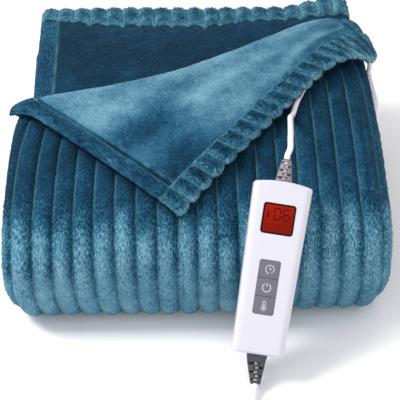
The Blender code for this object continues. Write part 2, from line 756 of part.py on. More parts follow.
def shell_outline(inset):
    """The tapered outline, arched at the top, with rounded corners."""
    top = 0.5 * SHELL_TOP_WIDTH - inset
    foot = 0.5 * SHELL_FOOT_WIDTH - inset
    end = 0.5 * SHELL_LENGTH - inset
    corners = [(-foot, -end), (foot, -end), (top, end - SHELL_ARCH), (-top, end - SHELL_ARCH)]
    radius = max(SHELL_CORNER - SHELL_SHARPENING * inset, SHELL_SHARPEST)
    outline = rounded_outline(corners, radius, CORNER_POINTS)
    below_top = 3 * (CORNER_POINTS + 1)
    top_edge = [(top * share, end - SHELL_ARCH) for share in TOP_EDGE_SHARES]
    outline = outline[:below_top] + top_edge + outline[below_top:]
    return [(x, y + SHELL_ARCH * (1 - (x / top) ** 2) * (y > 0)) for x, y in outline]


def cut(piece, cutter):
    """Cut the cutter out of the piece; the cutter stays as a hidden guide."""
    cutter.hide_render = True
    cutter.display_type = "WIRE"
    boolean = piece.modifiers.new(cutter.name, "BOOLEAN")
    boolean.operation = "DIFFERENCE"
    boolean.object = cutter


def build_shell(frame):
    loops = []
    for depth, inset in SHELL_LEVELS:
        loops.append([(x, y, -depth) for x, y in shell_outline(inset)])
    shell = loft("controller_shell", loops)
    width, height = DISPLAY_SIZE
    outline = rounded_outline(
        box_corners(width + 2 * GAP, height + 2 * GAP, DISPLAY_AT), DISPLAY_CORNER, ROUND_POINTS
    )
    display_pocket = slab("display_pocket", outline, -DISPLAY_DEPTH, POCKET_MOUTH)
    pad_height = KEY_PITCH * (len(KEYS) - 1) + KEY_SIZE[1] + 2 * GAP
    pad = box_corners(KEY_SIZE[0] + 2 * GAP, pad_height, KEY_PAD_AT)
    outline = rounded_outline(pad, KEY_CORNER + GAP, ROUND_POINTS)
    key_pocket = slab("key_pocket", outline, -KEY_POCKET, POCKET_MOUTH)
    for piece in (shell, display_pocket, key_pocket):
        piece.matrix_world = frame
    cut(shell, display_pocket)
    cut(shell, key_pocket)
    paint(shell, "shell", 0.35)
    smooth_shade(shell, 40)


def build_display(frame):
    outline = rounded_outline(box_corners(*DISPLAY_SIZE, DISPLAY_AT), DISPLAY_CORNER, ROUND_POINTS)
    window = slab("display_window", outline, -DISPLAY_DEPTH + GAP, 0.0)
    window.matrix_world = frame
    paint(window, "display", 0.15)


def build_keys(frame):
    """Three keys in one pad; only the pad's own four corners are rounded."""
    half_width, half_height = 0.5 * KEY_SIZE[0], 0.5 * KEY_SIZE[1]
    for i, name in enumerate(KEYS):
        corners = box_corners(*KEY_SIZE)
        rounded = rounded_outline(corners, KEY_CORNER, ROUND_POINTS)
        if i > 0:
            upper = [(half_width, half_height), (-half_width, half_height)]
            rounded = [p for p in rounded if p[1] < 0] + upper
        if i < len(KEYS) - 1:
            lower = [(-half_width, -half_height), (half_width, -half_height)]
            rounded = lower + [p for p in rounded if p[1] > 0]
        key = slab(name, rounded, KEY_FLOOR + KEY_PRESS - KEY_POCKET, KEY_PROUD)
        middle = Matrix.Translation((KEY_PAD_AT[0], KEY_PAD_AT[1] + KEY_PITCH * (1 - i), 0.0))
        key.matrix_world = frame @ middle
        paint(key, "keys", 0.5)


# ---------------------------------------------------------------- strain reliefs
def swept(name, centres, side, sizes):
    """A closed body through oval rings: centres, one sideways direction, and (width, depth) of each ring."""
    centres = [Vector(c) for c in centres]
    loops = []
    for i, (centre, (width, depth)) in enumerate(zip(centres, sizes)):
        ahead = centres[min(i + 1, len(centres) - 1)] - centres[max(i - 1, 0)]
        across = (side - ahead * side.dot(ahead) / ahead.length_squared).normalized()
        up = across.cross(ahead.normalized())
        turns = [2 * pi * j / RING_SIDES for j in range(RING_SIDES)]
        across *= 0.5 * width
        up *= 0.5 * depth
        loops.append([centre + across * cos(t) + up * sin(t) for t in turns])
    return loft(name, loops)


def lower_relief_route(frame, steps):
    """Centre line of the lower relief: out of the shell's foot, bending towards the floor."""
    start = frame @ Vector((0.0, -0.5 * SHELL_LENGTH - GAP, -0.5 * SHELL_DEPTH))
    out = -(frame.to_3x3() @ Vector((0.0, 1.0, 0.0)))
    reach = (LOWER_RELIEF_END - start).length
    level = (LOWER_RELIEF_END - start).normalized()
    level.z = 0.0
    level.normalize()
    into = level * cos(LOWER_RELIEF_DIP) - Vector((0.0, 0.0, 1.0)) * sin(LOWER_RELIEF_DIP)
    first = start + out * reach / 3
    second = LOWER_RELIEF_END - into * reach / 3
    return bezier(start, first, second, LOWER_RELIEF_END, steps), into


def bezier(start, first, second, end, steps):
    """Points on a cubic curve from start to end, drawn towards the two points between."""
    points = []
    for i in range(steps + 1):
        t = i / steps
        u = 1 - t
        points.append(start * u**3 + first * 3 * u * u * t + second * 3 * u * t * t + end * t**3)
    return points


def relief_sizes(row):
    """(width, depth) of each ring: a taper with a slot at every second ring."""
    _, wide, narrow, deep, thin, slots, count = row
    sizes = []
    for i in range(count):
        share = i / (count - 1)
        slot = 2 * RELIEF_SLOT if i % 2 == 0 and 0 < i < 2 * slots + 1 else 0.0
        sizes.append((wide + (narrow - wide) * share - slot, deep + (thin - deep) * share - slot))
    return sizes


def build_reliefs(frame):
    """Both reliefs. Returns where the cords leave them, and the lower one's direction there."""
    side = frame.to_3x3() @ Vector((1.0, 0.0, 0.0))
    start = frame @ Vector((0.0, 0.5 * SHELL_LENGTH + GAP, -0.5 * SHELL_DEPTH))
    up = frame.to_3x3() @ Vector((0.0, 1.0, 0.0))
    steps = RELIEFS[0][-1] - 1
    upper = [start + up * UPPER_RELIEF_LENGTH * i / steps for i in range(steps + 1)]
    lower, into = lower_relief_route(frame, RELIEFS[1][-1] - 1)
    for row, route in zip(RELIEFS, (upper, lower)):
        relief = swept(row[0], route, side, relief_sizes(row))
        paint(relief, row[0], 0.6)
        smooth_shade(relief, 50)
    return upper[-1] + up * 3 * GAP, up, lower[-1] + into * 3 * GAP, into


# ---------------------------------------------------------------- cords
def cord_tube(name, route):
    """A round tube on a smooth curve through the route's points."""
    curve = bpy.data.curves.new(name, "CURVE")
    curve.dimensions = "3D"
    curve.bevel_depth = 0.5 * CORD
    curve.bevel_resolution = 2
    curve.use_fill_caps = True
    points = smooth_route(route, CORD_STEP * CORD)
    line = curve.splines.new("POLY")
    line.points.add(len(points) - 1)
    for place, point in zip(line.points, points):
        place.co = (*point, 1.0)
    tube = bpy.data.objects.new(name, curve)
    bpy.context.scene.collection.objects.link(tube)
    paint(tube, "cord", 0.4)


def build_connector():
    """The housing on the right side, with a short neck on top for the lead. Returns the neck's top."""
    width, length, height = CONNECTOR_SIZE
    loops = []
    for share, inset in CONNECTOR_LEVELS:
        corners = box_corners(length - 2 * inset, height - 2 * inset)
        outline = rounded_outline(corners, CONNECTOR_ROUND, ROUND_POINTS)
        x = width * (share - 0.5)
        loops.append([CONNECTOR_AT + Vector((x, y, z)) for y, z in outline])
    housing = loft("blanket_connector", loops)
    paint(housing, "shell", 0.35)
    smooth_shade(housing, 40)
    foot, top, tall = NECK_SIZE
    base = CONNECTOR_AT + Vector((*NECK_AT, 0.5 * height + GAP))
    centres = [base, base + Vector((0.0, 0.0, tall))]
    sizes = [(foot, foot), (top, top)]
    neck = swept("connector_neck", centres, Vector((1.0, 0.0, 0.0)), sizes)
    paint(neck, "shell", 0.4)
    smooth_shade(neck, 50)
    return centres[-1] + Vector((0.0, 0.0, 3 * GAP))


def build_lead(exit_point, exit_way, entry):
    """The lead from the controller, over the top and under the corner, down into the connector."""
    laid = [settle(outer_point(np.array(a), along_top(b), np.array(r))[0]) for a, b, r in LEAD_LAID]
    route = [exit_point, exit_point + exit_way * STRAIGHT_END]
    route += [Vector(p) for p in (*LEAD_FREE, *laid, *LEAD_DOWN)]
    cord_tube("controller_lead", route + [entry])


def build_mains(exit_point, exit_way):
    """The mains cord's short run, its stored coil, its tail and its plug."""
    route = [exit_point, exit_point + exit_way * STRAIGHT_END] + [Vector(p) for p in MAINS_RUN]
    cord_tube("mains_cord", route)
    centre = Vector((*COIL_CENTRE, 0.0))
    outer = COIL_MIDDLE + 0.5 * COIL_TURNS_WIDE * CORD
    low, high = 0.0, COIL_TURNS_HIGH * CORD
    inner = COIL_MIDDLE - 0.5 * COIL_TURNS_WIDE * CORD
    soft = COIL_SOFTENING * CORD
    profile = [
        (outer - soft, low), (outer, low + soft), (outer, high - soft), (outer - soft, high),
        (inner + soft, high), (inner, high - soft), (inner, low + soft), (inner + soft, low),
    ]
    build_ring("mains_coil", centre, profile)
    into_plug = [PLUG_AT - PLUG_AHEAD * away for away in (CORD, 2 * GAP)]
    cord_tube("mains_tail", [Vector(p) for p in TAIL_RUN] + into_plug)
    build_plug()


def build_ring(name, centre, profile):
    """A turned ring with this section, as (radius, height) pairs."""
    mesh = bmesh.new()
    rings = []
    for i in range(COIL_SIDES):
        t = 2 * pi * i / COIL_SIDES
        rings.append([mesh.verts.new(centre + Vector((r * cos(t), r * sin(t), z))) for r, z in profile])
    for i in range(COIL_SIDES):
        a, b = rings[i - 1], rings[i]
        for j in range(len(profile)):
            mesh.faces.new((a[j - 1], a[j], b[j], b[j - 1]))
    ring = finish_mesh(name, mesh)
    paint(ring, "cord", 0.4)
    smooth_shade(ring, 50)


def build_plug():
    """The plug's moulded body and its two flat blades."""
    side = Vector((-PLUG_AHEAD.y, PLUG_AHEAD.x, 0.0))
    centres = [PLUG_AT + PLUG_AHEAD * along for along, _, _ in PLUG_RINGS]
    body = swept("mains_plug", centres, side, [(w, h) for _, w, h in PLUG_RINGS])
    paint(body, "cord", 0.4)
    smooth_shade(body, 50)
    length, width, thickness = BLADE_SIZE
    front = PLUG_AT + PLUG_AHEAD * (PLUG_RINGS[-1][0] + GAP)
    for name, way in (("plug_blade_left", 1), ("plug_blade_right", -1)):
        middle = front + side * way * 0.5 * BLADE_SPREAD
        outline = rounded_outline(box_corners(length, width, (0.5 * length, 0.0)), BLADE_CORNER, 2)
        blade = slab(name, outline, -0.5 * thickness, 0.5 * thickness)
        turn = Matrix((PLUG_AHEAD, Vector((0.0, 0.0, -1.0)), side)).transposed().to_4x4()
        blade.matrix_world = Matrix.Translation(middle) @ turn
        paint(blade, "blades", 0.3, 1.0)


def main():
    clear_scene()
    cloth_points = build_cloth()
    frame = controller_frame(cloth_points)
    build_shell(frame)
    build_display(frame)
    build_keys(frame)
    upper_exit, upper_way, lower_exit, lower_way = build_reliefs(frame)
    entry = build_connector()
    build_lead(upper_exit, upper_way, entry)
    build_mains(lower_exit, lower_way)


main()
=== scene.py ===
"""Looks of a folded ribbed heated blanket with its hand controller, cords and plug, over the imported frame.

Metres, +Z up, front towards -Y. Each shape is worked out with numpy on a grid of two parameters."""

from math import cos, pi, radians, sin

import bmesh
import bpy
import numpy as np
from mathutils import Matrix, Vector


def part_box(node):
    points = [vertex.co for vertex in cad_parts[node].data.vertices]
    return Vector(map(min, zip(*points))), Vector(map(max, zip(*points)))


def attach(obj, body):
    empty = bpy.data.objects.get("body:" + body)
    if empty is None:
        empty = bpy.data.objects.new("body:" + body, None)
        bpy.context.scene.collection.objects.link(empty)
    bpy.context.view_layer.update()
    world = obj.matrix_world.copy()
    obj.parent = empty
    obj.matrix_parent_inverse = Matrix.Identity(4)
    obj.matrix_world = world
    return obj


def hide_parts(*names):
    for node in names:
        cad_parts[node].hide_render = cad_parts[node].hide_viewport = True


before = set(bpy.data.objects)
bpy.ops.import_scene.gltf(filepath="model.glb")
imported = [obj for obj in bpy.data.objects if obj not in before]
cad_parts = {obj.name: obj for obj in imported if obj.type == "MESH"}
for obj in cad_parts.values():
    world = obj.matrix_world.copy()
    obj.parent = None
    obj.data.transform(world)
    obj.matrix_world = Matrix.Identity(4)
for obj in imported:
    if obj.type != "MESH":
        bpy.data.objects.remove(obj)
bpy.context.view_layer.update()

bl_info = {
    "name": "Heated blanket dressing",
    "version": (1, 0, 0),
    "blender": (4, 5, 0),
    "location": "3D View > Sidebar > Heated Blanket",
    "description": "Folds the ribbed throw and dresses its controller, cords and plug over the packed frame",
    "category": "Object",
}

# ---- cloth sizes, as in the part
RIBS = 20
RIB_PITCH = 0.0204
RIB_HEIGHT = 0.005
VALLEY_RISE = 0.002
BACK_RISE = 0.003
FLAT_RISE = 0.005
HEM_DEPTH = 0.025
HEM_PUFF = 0.003
SCALLOP = 0.005
# The outer layer's section. columns: length, turn in degrees
OUTER_BENDS = (
    (0.262, 0.0),
    (0.055, 0.0),
    (0.054, 85.0),
    (0.030, 10.0),
    (0.064, 68.0),
    (0.300, 17.0),
    (0.080, 14.0),
)
OUTER_START_Y = 0.165
SECTION_STEP = 0.0005
PLAIN_END = 0.255
RIB_FADE = (0.262, 0.322)
SHOULDER_END = 0.465
FLAT_HALF = 0.1705
EDGE_RADIUS = 0.018
EDGE_TURN = radians(75.0)
EDGE_FADE = (0.14, 0.30)
# Inner layers, bottom to top. columns: left edge, right edge, end towards the back
INNER_LAYERS = (
    (-0.170, 0.168, 0.163),
    (-0.181, 0.180, 0.169),
    (-0.182, 0.184, 0.169),
    (-0.178, 0.185, 0.160),
    (-0.180, 0.183, 0.160),
    (-0.184, 0.185, 0.168),
    (-0.183, 0.186, 0.168),
    (-0.179, 0.184, 0.162),
    (-0.177, 0.181, 0.162),
    (-0.175, 0.1735, 0.172),
)
LAYERS = len(INNER_LAYERS)
LAYER_GAP = 0.0026
LAYER_THICKEST = 0.0105
FRONT_NARROWING = 0.010
NARROWING_Y = (-0.18, -0.11)
SHOWN_RIBS = 19
SHOWN_FLARE = 0.0145
SHOWN_FLARE_Y = (0.10, 0.15)
BACK_HEM_DEPTH = 0.030
BACK_SKEW = 0.0186
BACK_SKEW_SHARES = (0.35, 0.75)
BACK_LIFT = 0.0125
BACK_LIFT_FROM = (0.78, 0.95)
# The turned-down corner. columns: rib, fold across, fold back, end across, end back, roll radius
CORNER = np.array((
    (0, -0.1885, -0.0140, -0.0195, -0.1580, 0.0063),
    (3, -0.1300, -0.0030, 0.0140, -0.1190, 0.0070),
    (6, -0.0755, 0.0038, 0.0530, -0.0750, 0.0080),
    (9, -0.0180, 0.0200, 0.0890, -0.0357, 0.0090),
    (12, 0.0407, 0.0465, 0.1240, 0.0060, 0.0100),
    (15, 0.1035, 0.0838, 0.1587, 0.0425, 0.0105),
    (18, 0.1585, 0.1115, 0.1800, 0.0610, 0.0092),
    (20, 0.1815, 0.1150, 0.1885, 0.0805, 0.0076),
))
CORNER_DROOP = 0.0070
PRESSED = 0.4
PRESSED_FROM = (-0.010, 0.010)
LEAN_X = 0.0025
BOW_Y = 0.004
SAG_Z = 0.025
TUCK_X = 0.035
TUCK_HEIGHT = 0.055

# Places in one rib where the cloth has a column, as shares of its pitch
RIB_PLACES = (0.0, 0.05, 0.14, 0.27, 0.42, 0.58, 0.73, 0.86, 0.95)
# Places inwards from a side edge where a plain face has a column
SIDE_PLACES = (0.0, 0.0003, 0.0012, 0.0026, 0.0045, 0.0070, 0.0105, 0.0145, 0.0180, 0.0200, 0.0212, 0.0226, 0.0245,
               0.0275, 0.0320)
# Places of the rows along an inner layer, as shares of its run
RUN_PLACES = (0.0, 0.04, 0.12, 0.24, 0.36, 0.48, 0.60, 0.72, 0.84, 0.94, 1.0)
EDGE_ROLL = 0.0060
LAYER_ROLL = 0.0055
BACK_TIP_ROUND = 0.0075
CORNER_TIP_ROUND = 0.0070
SIDE_HEM_END = (0.0185, 0.0212)
HEM_ROLL_START = (0.0, 0.006)
HEM_ROLL_END = (0.0190, 0.0212)
# Bells across a side hem: the groove's place and width, and those of the painted shade along it
HEM_GROOVE = (0.0226, 0.0022)
GROOVE_SHADE = (0.0240, 0.0028)
SOFT_FROM_SIDE = (0.02, 0.06)
SIDE_SEAM = 0.0205
# Rows of the two scalloped hems, as distances inwards from the tip; the corner's rows run towards it
BACK_HEM_ROWS = (0.0, 0.0002, 0.0008, 0.002, 0.004, 0.0065, 0.0095, 0.013, 0.017, 0.021, 0.025, 0.0275, 0.0290,
                 0.0300, 0.0310, 0.0325)
CORNER_HEM_ROWS = (0.0290, 0.0275, 0.0262, 0.0250, 0.0240, 0.0225, 0.0200, 0.0170, 0.0140, 0.0110, 0.0085, 0.0062,
                   0.0042, 0.0025, 0.0012, 0.0004, 0.0)
DOWN = np.array((0.0, 0.0, -1.0))
PILE_LEAN = np.array((0.0, -0.55, -0.45))
# A tuft's way and size: share of the normal, of chance, shortest and longest over the mean, half width over length
TUFT_UPRIGHT = 0.75
TUFT_CHANCE = 0.55
TUFT_LENGTHS = (0.6, 1.25)
TUFT_HALF_WIDTH = 0.13
TUFT_ROOT = 0.0004
UNEVEN_ABOVE = (0.002, 0.008)
# What the finish reads at each point: the pile's tone with painted light and shade, a painted highlight line,
# smoothness of the pile, weight of its tufts
MARKS = ("nap", "crease", "plush", "pile")
# Creases pressed into the front's ribs.
# columns: place across in ribs, width in ribs, depth, from and to along the section
CREASES = (
    (0.52, 0.07, 0.0022, 0.33, 0.47),
    (9.30, 0.08, 0.0016, 0.35, 0.44),
    (12.45, 0.07, 0.0016, 0.33, 0.42),
    (18.40, 0.07, 0.0020, 0.35, 0.60),
    (19.35, 0.08, 0.0018, 0.34, 0.56),
)

# ---- hand controller, as in the part
SLOPE = radians(50.0)
LEAN = radians(10.2)
GAP = 0.0003
SHELL_LENGTH = 0.1685
SHELL_TOP_WIDTH = 0.0575
SHELL_FOOT_WIDTH = 0.0500
SHELL_DEPTH = 0.0230
SHELL_ARCH = 0.0035
SHELL_CORNER = 0.0024
SHELL_CORNER_LEAST = 0.0014
SHELL_CORNER_STEPS = 10
SHELL_END_INSET = 0.35
SHELL_FACE_ROUND = (0.0055, 0.0075)
SHELL_BACK_ROUND = (0.0040, 0.0040)
SHELL_PARTING = (0.0112, 0.0114, 0.0115, 0.0118, 0.0119, 0.0121)
DISPLAY_SIZE = (0.0313, 0.0294)
DISPLAY_AT = (-0.0005, 0.0470)
DISPLAY_DEPTH = 0.0016
DISPLAY_CORNER = 0.0030
CUT_ABOVE = 0.002
RIM_INSET = 0.0007
RIM_WIDTH = 0.0017
RIM_HEIGHT = 0.00016
PRINT_GAP = 0.00003
KEY_SIZE = (0.0200, 0.0172)
KEY_PAD_AT = (-0.0017, -0.0192)
KEY_PITCH = 0.0175
KEY_POCKET = 0.0030
KEY_PROUD = 0.0004
KEY_LOW = -0.0021
KEY_CORNER = 0.0022
KEY_EDGE = 0.0004
KEY_ROUND = 0.0005
KEYS = ("key_timer", "key_power", "key_heat")
RELIEF_STEPS = 180
RELIEF_SIDES = 72
LOWER_RELIEF_END = np.array((0.0498, -0.2838, 0.0086))
LOWER_RELIEF_DIP = radians(18.0)
UPPER_RELIEF_LENGTH = 0.0208
# Sleeves of the reliefs: width at the shell and at the tip, depth at both, slots, first and last slot's place
UPPER_SLEEVE = (0.0165, 0.0092, 0.0125, 0.0088, 5, (0.14, 0.86))
LOWER_SLEEVE = (0.0205, 0.0098, 0.0150, 0.0094, 5, (0.30, 0.90))

# A slot: half its width over the slots' spacing, its turn off the middle, its ends, and where the cord shows in it
TIP_FROM = 0.955
SLOT_HALF = 0.26
SLOT_TURNED = 0.55
SLOT_EDGE = (0.98, 0.86)
CORD_SHOWS = (0.80, 0.45)

# ---- cords, as in the part
CORD = 0.0058
CORD_SPACING = 0.0025
STRAIGHT_END = 0.004
LEAD_FREE = (
    (0.0900, -0.1330, 0.1755),
    (0.0913, -0.1240, 0.1783),
    (0.0928, -0.1100, 0.1783),
    (0.0945, -0.0930, 0.1740),
    (0.0965, -0.0740, 0.1675),
    (0.0985, -0.0560, 0.1615),
)
LEAD_LAID = np.array((
    (0.1012, -0.0380, 0.0116),
    (0.1048, -0.0255, 0.0110),
    (0.1092, -0.0135, 0.0107),
    (0.1145, -0.0015, 0.0106),
    (0.1205, 0.0110, 0.0105),
    (0.1272, 0.0245, 0.0104),
    (0.1358, 0.0375, 0.0102),
    (0.1472, 0.0490, 0.0098),
    (0.1608, 0.0566, 0.0092),
    (0.1750, 0.0608, 0.0088),
))
LEAD_DOWN = (
    (0.1848, 0.0624, 0.1609),
    (0.1918, 0.0640, 0.1580),
    (0.1973, 0.0660, 0.1529),
    (0.2000, 0.0677, 0.1467),
    (0.2004, 0.0687, 0.1413),
    (0.1999, 0.0690, 0.1375),
)
CONNECTOR_SIZE = (0.0167, 0.0640, 0.0325)
CONNECTOR_AT = np.array((0.19725, 0.0540, 0.1118))
CONNECTOR_ROUND = 0.0060
# Its rounds next to the cloth and outside, and its parting line, as shares of the width with insets
CONNECTOR_ROUNDS = ((0.15, 0.0030), (0.35, 0.0045))
CONNECTOR_PARTING = (0.47, 0.475, 0.48, 0.50, 0.505, 0.51)
CONNECTOR_GROOVE = 0.00025
NECK_SIZE = (0.0086, 0.0080, 0.0040)
NECK_AT = (0.0025, 0.0150)
MAINS_RUN = (
    (0.0480, -0.2950, 0.0051),
    (0.0465, -0.3070, 0.0033),
    (0.0480, -0.3240, 0.0031),
    (0.0535, -0.3370, 0.0031),
)
COIL_CENTRE = (0.0190, -0.3700)
# The coil's winding. columns: travel round it in degrees, radius, height of the cord's middle
COIL_WINDING = np.array((
    (0, 0.0460, 0.0031),
    (60, 0.0400, 0.0031),
    (360, 0.0400, 0.0031),
    (420, 0.0341, 0.0031),
    (720, 0.0341, 0.0031),
    (780, 0.0282, 0.0031),
    (1020, 0.0282, 0.0031),
    (1080, 0.0282, 0.0091),
    (1320, 0.0282, 0.0091),
    (1380, 0.0341, 0.0091),
    (1680, 0.0341, 0.0091),
    (1740, 0.0400, 0.0091),
    (1980, 0.0400, 0.0091),
    (2040, 0.0400, 0.0151),
    (2100, 0.0341, 0.0151),
    (2480, 0.0341, 0.0151),
    (2540, 0.0341, 0.0211),
    (2605, 0.0461, 0.0211),
    (2660, 0.0461, 0.0031),
))
COIL_STARTS_AT = 30.0
TAIL_RUN = (
    (-0.0100, -0.4088, 0.0031),
    (-0.0215, -0.4035, 0.0042),
    (-0.0310, -0.3985, 0.0062),
)
PLUG_AT = np.array((-0.0440, -0.3868, 0.0082))
PLUG_AHEAD = np.array((-0.72, 0.694, 0.0)) / np.hypot(0.72, 0.694)
PLUG_RIB_PITCH = 0.0022
PLUG_FIRST_GRIP = 0.0195
PLUG_GRIP_PITCH = 0.0030
# The plug's outline. columns: distance from the cord's end, width, height
PLUG_RINGS = np.array((
    (0.0, 0.0085, 0.0085),
    (0.0050, 0.0090, 0.0090),
    (0.0100, 0.0100, 0.0098),
    (0.0125, 0.0160, 0.0125),
    (0.0150, 0.0205, 0.0146),
    (0.0200, 0.0240, 0.0157),
    (0.0280, 0.0248, 0.0160),
    (0.0340, 0.0246, 0.0158),
    (0.0360, 0.0235, 0.0146),
))


def srgb(red, green, blue):
    """Linear colour from 0-255 display values: ((c + 0.055) / 1.055) ** 2.4."""
    return tuple(((c / 255 + 0.055) / 1.055) ** 2.4 for c in (red, green, blue))


# How a solid taken over from the frame is softened: weld distance, and the least turn of an edge to round
WELD_WITHIN = 0.00001
SHARP_EDGE = radians(40.0)

# ---- camera and stage
CAMERA_AT = (-0.0331, -1.10, 0.872)
CAMERA_DOWN = radians(38.0)
CAMERA_TURN = radians(-2.1)
CAMERA_LENS = 110.34
FLOOR_SIDE = 8.0
STACK_MIDDLE = Vector((0.0, -0.05, 0.06))
# columns: name, place, side
MAIN_LIGHT = ("main_light", (-1.5, 0.05, 1.8), 0.65)
FRONT_LIGHT = ("front_light", (0.2, -2.2, 1.2), 1.6)
SKY_COLOUR = (0.985, 0.970, 1.0, 1.0)


# ---- sizes and colours a user changes
def colour_setting(name, description, default):
    return bpy.props.FloatVectorProperty(
        name=name, description=description, default=default, size=3, min=0.0, max=1.0, subtype="COLOR"
    )


def size_setting(name, description, default, low, high):
    return bpy.props.FloatProperty(
        name=name, description=description, default=default, min=low, max=high, unit="LENGTH"
    )


def power_setting(name, description, default):
    return bpy.props.FloatProperty(
        name=name, description=description, default=default, min=0.0, max=500.0, subtype="POWER"
    )


class ClothSettings(bpy.types.PropertyGroup):
    """Sizes and colours of the ribbed throw."""

    rib_height: size_setting("Rib height", "Height of a rib's crown over its valleys", RIB_HEIGHT, 0.002, 0.006)
    unevenness: size_setting("Pile unevenness", "How far the cloth stands in and out", 0.00022, 0.0, 0.001)
    tufts: bpy.props.IntProperty(
        name="Tufts", description="How many tufts stand out of the cloth", default=45000, min=1000, max=49000
    )
    tuft_length: size_setting("Tuft length", "Mean length of a tuft of the pile", 0.0026, 0.0005, 0.005)
    trough: size_setting("Trough depth", "Depth of the soft troughs in the corner", 0.0030, 0.0, 0.004)
    pile_depth: size_setting("Pile depth", "Depth of the fine pile drawn by the bump", 0.0012, 0.0, 0.004)
    # Colour stops of the pile: one teal, from painted shadow to painted highlight; the upper ribs take the painted
    # dark stop and the front's ribs the painted light stop
    nap_shadow: colour_setting("Nap in shadow", "Pile that leans away from the light", srgb(3, 34, 54))
    nap_dark: colour_setting("Dark nap", "Pile of the upper ribs", srgb(14, 58, 84))
    nap_middle: colour_setting("Middle nap", "Pile between light and dark", srgb(42, 98, 124))
    nap_light: colour_setting("Light nap", "Pile of the front's ribs", srgb(86, 141, 162))
    nap_bright: colour_setting("Bright nap", "Pile that leans towards the light", srgb(134, 176, 192))
    # A greyer colour mixed into the lighter, smoother pile: painted sheen
    painted_sheen: colour_setting("Haze", "Greyer light that smooth pile throws back", srgb(150, 160, 166))
    # Light lines painted along seams and between ribs: painted highlights
    crease: colour_setting("Crease lines", "Light lines in seams and between ribs", srgb(84, 142, 158))


class ControllerSettings(bpy.types.PropertyGroup):
    """Sizes and colours of the hand controller."""

    parting_depth: size_setting("Parting line", "Depth of the line between the shell's halves", 0.00025, 0.0, 0.001)
    mark_height: size_setting("Mark height", "Height of the printed marks", 0.00006, 0.00002, 0.0003)
    shell: colour_setting("Shell", "Moulded shell of the controller", srgb(213, 212, 221))
    display: colour_setting("Display", "Lit display", srgb(148, 22, 2))
    digits: colour_setting("Digits", "Segments of the display", srgb(58, 6, 8))
    rim: colour_setting("Display rim", "Dark rim of the display", srgb(14, 18, 15))
    keys: colour_setting("Keys", "Soft keys", srgb(108, 106, 115))
    icons: colour_setting("Key marks", "Marks printed on the keys", srgb(208, 208, 216))
    upper_relief: colour_setting("Upper strain relief", "Rubber round the lead", srgb(146, 142, 149))
    lower_relief: colour_setting("Lower strain relief", "Rubber round the mains cord", srgb(76, 76, 83))


class CordSettings(bpy.types.PropertyGroup):
    """Sizes and colours of the cords and the plug."""

    diameter: size_setting("Cord diameter", "Outside of the sheath", CORD, 0.004, 0.006)
    mains_length: size_setting("Mains cord length", "From the controller to the plug", 1.8, 1.0, 3.0)
    sheath: colour_setting("Sheath", "Sheath of the cords and body of the plug", srgb(238, 236, 241))
    blades: colour_setting("Blades", "Plated blades of the plug", srgb(206, 200, 184))


class StageSettings(bpy.types.PropertyGroup):
    """Floor, lights and camera."""

    floor: colour_setting("Floor", "Plain floor", (0.97, 0.97, 0.97))
    sky: bpy.props.FloatProperty(name="Soft light", description="Light from all round", default=0.88, min=0, max=5)
    key_power: power_setting("Main light", "Light from the upper left", 38.0)
    fill_power: power_setting("Front light", "Weak light from the front", 6.0)


# ---- curves
def spline(knots, values, at):
    """Natural cubic curve through the values at the knots, read at the given places."""
    knots = np.asarray(knots, float)
    values = np.asarray(values, float)
    at = np.asarray(at, float)
    step = np.diff(knots)
    rise = np.diff(values) / step
    count = len(knots)
    system = np.eye(count)
    right = np.zeros(count)
    for i in range(1, count - 1):
        system[i, i - 1 : i + 2] = step[i - 1], 2 * (step[i - 1] + step[i]), step[i]
        right[i] = 6 * (rise[i] - rise[i - 1])
    bend = np.linalg.solve(system, right)
    i = np.clip(np.searchsorted(knots, at, side="right") - 1, 0, count - 2)
    low = at - knots[i]
    high = knots[i + 1] - at
    curve = (bend[i] * high**3 + bend[i + 1] * low**3) / (6 * step[i])
    line = (values[i] / step[i] - bend[i] * step[i] / 6) * high
    return curve + line + (values[i + 1] / step[i] - bend[i + 1] * step[i] / 6) * low


def unit(vectors):
    """The vectors in the last axis, each divided by its length."""
    return vectors / np.linalg.norm(vectors, axis=-1, keepdims=True)


def run_along(points):
    """Length along a line of points up to each of them: the running sum of its steps."""
    steps = np.linalg.norm(np.diff(points, axis=0), axis=1)
    return np.concatenate([[0.0], np.cumsum(steps)])


def smooth_route(points, spacing):
    """Points at an even spacing on the natural cubic curve through a route's own points."""
    points = np.asarray(points, float)
    chord = run_along(points)
    fine = np.linspace(0.0, chord[-1], 8000)
    curve = np.stack([spline(chord, points[:, i], fine) for i in range(3)], -1)
    run = run_along(curve)
    places = np.linspace(0.0, run[-1], max(2, round(run[-1] / spacing)) + 1)
    return np.stack([np.interp(places, run, curve[:, i]) for i in range(3)], -1)


def ease(low, high, at):
    """0 below low, 1 above high, and 3s^2 - 2s^3 between."""
    share = np.clip((np.asarray(at, float) - low) / (high - low), 0.0, 1.0)
    return share * share * (3.0 - 2.0 * share)


def hump(centre, width, at):
    """A bell that is 1 at the centre: exp(-((at - centre) / width)^2)."""
    return np.exp(-(((np.asarray(at, float) - centre) / width) ** 2))


def blend(first, second, share):
    """The first value where the share is 0, the second where it is 1, and straight between."""
    return first * (1 - share) + second * share


def waves(seed, *places):
    """Soft unevenness between about -1 and 1: a sum of five sines, with turned directions, over the given places."""
    random = np.random.default_rng(seed)
    total = 0.0
    for _ in range(5):
        ways = random.normal(size=len(places))
        ways = ways / np.linalg.norm(ways) * random.uniform(0.6, 1.7)
        total = total + np.sin(sum(w * p for w, p in zip(ways, places)) + random.uniform(0, 2 * pi))
    return total / 2.6


# ---- meshes
def grid_faces(index, closed=False):
    """Quads between the neighbouring points of a grid of point numbers; closed joins its last column to its first."""
    if closed:
        index = np.concatenate([index, index[:, :1]], axis=1)
    a, b, c, d = index[:-1, :-1], index[:-1, 1:], index[1:, 1:], index[1:, :-1]
    return np.stack([a, b, c, d], -1).reshape(-1, 4)


